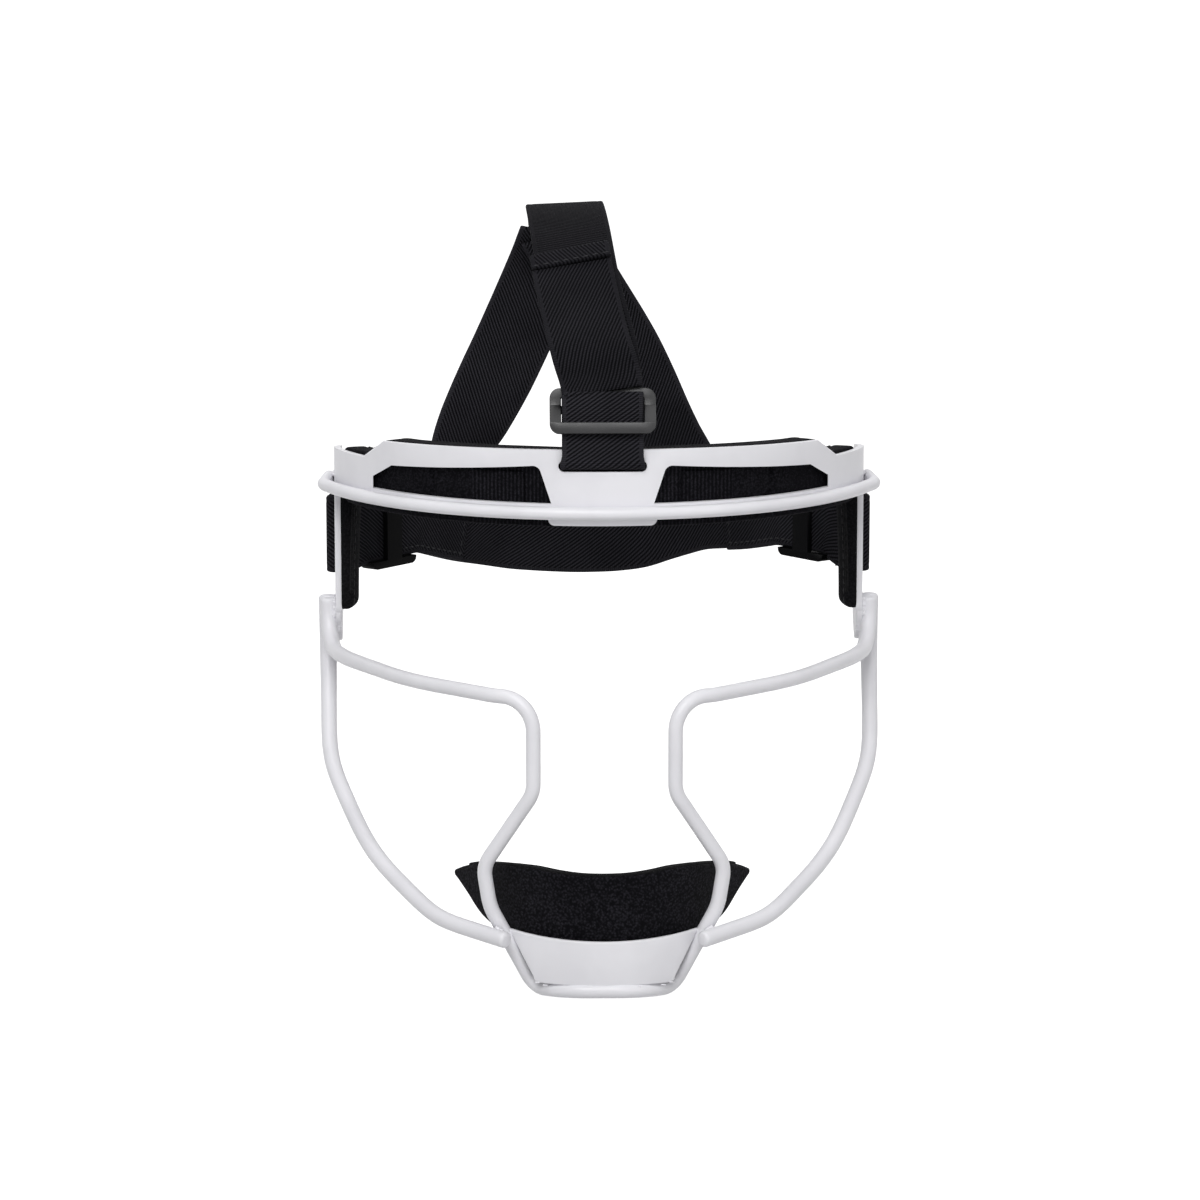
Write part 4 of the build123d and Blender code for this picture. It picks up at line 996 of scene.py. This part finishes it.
crownRows = boxStitch(crownRun, "crownBox", 1, True) + boxStitch(crownRun, "crownBox", -1, True)
crownThread = alongLines("crown_stitching", stitchTree, crownRows, threadFinish, "webbing", None, **sizes)
hemPlace = tailRun.along[-1] - (tailStrap["fold"] - tailStrap["row"]) * mm
hemWide = (webbing["width"] / 2 - tailStrap["rowMargin"]) * mm
hemLift = (2 * tailStrap["foldRadius"] + threadLift) * mm
hemRow = []
for k in range(9):
    # the row lies on the fold's outer face
    p = tailRun.at(hemPlace, hemWide * (k / 4 - 1), threadLift * mm)
    hemRow.append(p + outside * max(0, hemLift - (p - foldStart).dot(outside)))
tailThread = alongLines("tail_stitching", stitchTree, [hemRow], threadFinish, "webbing", None, **sizes)
for piece in (crownPiece, tailPiece, crownThread, tailThread):
    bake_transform(piece)
print("stitching ready")


# Pads

def padSection(low, high, thick, crown, outerRound, innerRound):
    # depth and height round one section: up the outer face, over the top, down the crowned inner face
    room = (high - low) / 2
    ro, ri = min(outerRound, room * 0.6, thick * 0.4), min(innerRound, room * 0.6, thick * 0.45)
    edge = max(thick - crown, ro + ri + thick * 0.05)
    crown = thick - edge
    outer = [(0, low + ro + (high - low - 2 * ro) * k / 10) for k in range(11)]
    top = [(ro * (1 - cos(pi / 6 * k)), high - ro + ro * sin(pi / 6 * k)) for k in (1, 2, 3)]
    top.append(((ro + edge - ri) / 2, high))
    top += [(edge - ri + ri * sin(pi / 8 * k), high - ri + ri * cos(pi / 8 * k)) for k in range(4)]
    inner = [(edge + crown * (1 - (k / 6 - 1) ** 2), high - ri - (high - low - 2 * ri) * k / 12)
             for k in range(13)]
    return outer + top + inner + [(depth, low + high - height) for depth, height in reversed(top)]


# Places in a section
upperOuterSeam, upperInnerSeam, lowerInnerSeam = 13, 17, 34


def makePad(name, node, stations, look, material):
    # stations: where the outer face is, which way is inward and up, and the section's sizes there
    rings = []
    bm = bmesh.new()
    for station in stations:
        ring = []
        for depth, height in padSection(*station["section"], look["outerRound"], look["innerRound"]):
            if "dent" in look:
                depth = max(depth, look["dent"](station, height))
            place = station["at"] + station["inward"] * depth + station["rise"] * height
            ring.append(bm.verts.new(place * mm))
        rings.append(ring)
    n = len(rings[0])
    skin(bm, rings)
    for ring in (rings[0], rings[-1]):
        middle = bm.verts.new(sum((v.co for v in ring), Vector()) / n)
        for k in range(n):
            bm.faces.new((ring[k], ring[(k + 1) % n], middle))
    mesh = meshFrom(name, bm)
    before = [v.co.copy() for v in mesh.vertices]
    piece = newObject(name, mesh, material, "cage")
    # the foam swells under its cover, held by its outer face and its seams
    held = piece.vertex_groups.new(name="held")
    fixed, easy = [], []
    for r in range(len(rings)):
        for k in range(n):
            fast = k <= upperOuterSeam or k > n - 4 or k in (upperInnerSeam, lowerInnerSeam)
            (fixed if fast or r in (0, len(rings) - 1) else easy).append(r * n + k)
    held.add(fixed, 1, "REPLACE")
    held.add(easy, 0.12, "REPLACE")
    cloth = piece.modifiers.new("cloth", "CLOTH")
    settings = cloth.settings
    settings.use_pressure = True
    settings.uniform_pressure_force = look["pressure"]
    settings.effector_weights.gravity = 0
    settings.vertex_group_mass = "held"
    cloth.point_cache.frame_start = 1
    cloth.point_cache.frame_end = 20
    for step in range(1, 21):
        scene.frame_set(step)
    graph = bpy.context.evaluated_depsgraph_get()
    swollen = bpy.data.meshes.new_from_object(piece.evaluated_get(graph))
    piece.modifiers.remove(cloth)
    limit = look["swell"] * mm
    for old, new, start in zip(piece.data.vertices, swollen.vertices, before):
        move = new.co - start
        old.co = start + (move if move.length < limit else move.normalized() * limit)
    scene.frame_set(1)
    bpy.data.meshes.remove(swollen)
    piece.vertex_groups.clear()
    finer = piece.modifiers.new("finer", "SUBSURF")
    finer.levels = finer.render_levels = 1
    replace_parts(piece, node)

    def edgeLine(k, out):
        # the pad's edge at one place of its sections, pushed out a little
        line = []
        for r in range(len(rings)):
            ring = [v.co for v in piece.data.vertices[r * n:r * n + n]]
            line.append(ring[k] + (ring[k] - sum(ring, Vector()) / n).normalized() * out * mm)
        return line

    return edgeLine


def roundEnds(distance, reach):
    # how much a section has closed at this distance from the pad's end
    if distance >= reach:
        return 1
    share = max(0.02, distance / reach)
    return sqrt(1 - (1 - share) ** 2)


def closedSection(pad, low, high, thick, full, thin=1):
    # a section's sizes where the pad is closed to the share full, and thinned
    keepHigh, keepThick = pad["endShares"]
    middle = (low + high) / 2
    keep = keepHigh + (1 - keepHigh) * full
    return (middle + (low - middle) * keep, middle + (high - middle) * keep,
            thick * (keepThick + (1 - keepThick) * full * thin), pad["crown"] * full * thin)


foreheadPad = {
    "bottom": -5, "endShares": (0.55, 0.25), "denser": 0.35,
    "tops": [(0, 19), (20, 19.4), (40, 19.2), (62, 18.6), (69, 18.1), (72.3, 15.6), (75.5, 13.4), (90, 13.4)],
    "thick": 10.8, "crown": 3, "turn": 13, "endRound": 5, "outerRound": 0.9, "innerRound": 2,
    "pressure": 4, "swell": 0.8, "fill": 0.8,
}
patchPocket = {"start": 15.4, "end": 36.6, "low": 1.4, "high": 12.6, "depth": 1.35}
loopRecess = {"half": 14.6, "low": 12, "depth": 3}
padFront = frontRadius - cage["sheet"] - cage["padGap"]
padCorner = cage["corner"] - cage["sheet"] - cage["padGap"]
cornerLength = radians(foreheadPad["turn"]) * padCorner
frontLength = frontTurn * padFront
halfLength = frontLength + cornerLength
stations = []
count = 132
for i in range(count + 1):
    share = i / count
    eased = share - sin(2 * pi * share) / (2 * pi) * foreheadPad["denser"]
    along = (2 * eased - 1) * (halfLength - 0.3)
    way = 1 if along >= 0 else -1
    distance = abs(along)
    if distance <= frontLength:
        turn = way * distance / padFront
        at = Vector((padFront * sin(turn), frontCentreY - padFront * cos(turn), 0))
    else:
        turn = way * (frontTurn + (distance - frontLength) / padCorner)
        at = Vector((way * cornerX + padCorner * sin(turn), cornerY - padCorner * cos(turn), 0))
    full = roundEnds(halfLength - distance, foreheadPad["endRound"])
    top = fromTable(foreheadPad["tops"], abs(at.x))
    stations.append({
        "at": at, "inward": Vector((-sin(turn), cos(turn), 0)), "rise": upright, "turn": abs(turn) * 180 / pi,
        "section": closedSection(foreheadPad, foreheadPad["bottom"], top, foreheadPad["thick"], full),
    })


def browDent(station, height):
    # the pockets behind the windows and the recess behind the front strap
    p, r = patchPocket, loopRecess
    if p["start"] < station["turn"] < p["end"] and p["low"] < height < p["high"]:
        return p["depth"]
    if abs(station["at"].x) < r["half"] and height > r["low"]:
        return r["depth"]
    return 0


foreheadPad["dent"] = browDent
browEdge = makePad("forehead_pad_cushion", "forehead_pad", stations, foreheadPad, browKnit)

sidePad = {"low": -41.8, "high": 8, "thick": 5.5, "topThick": 7.6, "crown": 1.3,
           "width": 0.55 * cage["armWidth"], "endRound": 3.6, "endShares": (0.6, 0.3), "outerRound": 0.6,
           "innerRound": 1.5, "pressure": 4, "swell": 0.5, "fill": 0.7}
sideTape = {"low": -36.4, "high": 2.4, "half": 3.6, "depth": 1.35}
sideOuterX = cage["half"] - cage["sheet"] - 0.15
sideMiddleY = armFront - 1 + sidePad["width"] / 2
sideEdges = {}


def sideDent(station, height):
    # room for the tape behind the pad
    t = sideTape
    return t["depth"] if t["low"] < station["at"].z < t["high"] and abs(height) < t["half"] else 0


sidePad["dent"] = sideDent
for label, way in (("left", -1), ("right", 1)):
    stations = []
    for i in range(49):
        share = i / 48
        z = sidePad["low"] + (sidePad["high"] - sidePad["low"]) * share
        full = roundEnds(min(z - sidePad["low"], sidePad["high"] - z) + 0.2, sidePad["endRound"])
        thick = sidePad["thick"] + (sidePad["topThick"] - sidePad["thick"]) * share * share
        half = sidePad["width"] / 2
        stations.append({
            "at": Vector((way * sideOuterX, sideMiddleY, z)), "inward": Vector((-way, 0, 0)),
            "rise": Vector((0, 1, 0)), "section": closedSection(sidePad, -half, half, thick, full),
        })
    sideEdges[label] = makePad(label + "_side_pad_cushion", label + "_side_pad", stations, sidePad, sideKnit)

chinPad = {
    "tops": [(0, -109.6), (8, -109.5), (16, -109), (22.7, -108.5), (28, -108.8), (32, -109.4), (39, -111.3),
             (44, -113.7), (48.3, -116.4)],
    "lows": [(0, -138), (20, -138), (29, -133.1), (38.5, -128), (43.5, -122), (48.3, -116.6)],
    "bow": (28.4 ** 2 + 11 ** 2) / 22, "frontY": -44, "plate": 0.8, "tape": 1.6, "turn": 55, "run": 25.6,
    "thick": 8, "crown": 2.4, "endRound": 4, "endShares": (0.5, 0.45), "thinBelow": 14, "outerRound": 1.2,
    "innerRound": 2.2, "pressure": 4, "swell": 0.7, "fill": 0.75,
}
chinFace = chinPad["bow"] - chinPad["plate"] - chinPad["tape"]
chinCentreY = chinPad["frontY"] + chinPad["bow"]
chinTurn = radians(chinPad["turn"])
chinArc = chinFace * chinTurn
chinHalf = chinArc + chinPad["run"]
stations = []
count = 96
for i in range(count + 1):
    along = (2 * i / count - 1) * chinHalf
    way = 1 if along >= 0 else -1
    distance = abs(along)
    turn = way * min(distance / chinFace, chinTurn)
    at = Vector((chinFace * sin(turn), chinCentreY - chinFace * cos(turn), 0))
    if distance > chinArc:
        at += Vector((way * cos(chinTurn), sin(chinTurn), 0)) * (distance - chinArc)
    full = roundEnds(chinHalf - distance, chinPad["endRound"])
    high = fromTable(chinPad["tops"], abs(at.x))
    low = fromTable(chinPad["lows"], abs(at.x))
    thin = min(1, (high - low) / chinPad["thinBelow"])
    stations.append({
        "at": at, "inward": Vector((-sin(turn), cos(turn), 0)), "rise": upright,
        "section": closedSection(chinPad, low, high, chinPad["thick"], full, thin),
    })
chinEdge = makePad("chin_pad_cushion", "chin_pad", stations, chinPad, chinKnit)
print("pads ready")

# Binding along the pads' sewn edges, and the thread beside it
binding = {"thick": 1.1, "out": 0.05, "step": 1.2, "short": 6, "threadOut": 0.12, "threadShort": 3}
edges = [("forehead_pad_lower", browEdge, lowerInnerSeam), ("forehead_pad_upper", browEdge, upperInnerSeam),
         ("chin_pad_top", chinEdge, upperInnerSeam), ("chin_pad_front", chinEdge, upperOuterSeam),
         ("chin_pad_lower", chinEdge, lowerInnerSeam)]
for label, edge in sideEdges.items():
    edges += [(label + "_side_pad_front", edge, lowerInnerSeam),
              (label + "_side_pad_back", edge, upperInnerSeam)]
for label, edge, seam in edges:
    name = label + "_binding"
    inner = edge(seam, binding["out"])[binding["short"]:-binding["short"]]
    mesh = tubeMesh(name, evenLine(inner, binding["step"] * mm), binding["thick"] / 2 * mm, 8)
    newObject(name, mesh, bindingKnit, "cage")

padRows = [edge(place, binding["threadOut"])[binding["threadShort"]:-binding["threadShort"]]
           for edge in (browEdge, chinEdge, *sideEdges.values())
           for place in (lowerInnerSeam - 2, upperInnerSeam + 3)]
alongLines("pad_stitching", stitchTree, padRows, padThread, "pad_fabric", "cage", **sizes)
print("bindings and pad stitching ready")

low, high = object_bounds()
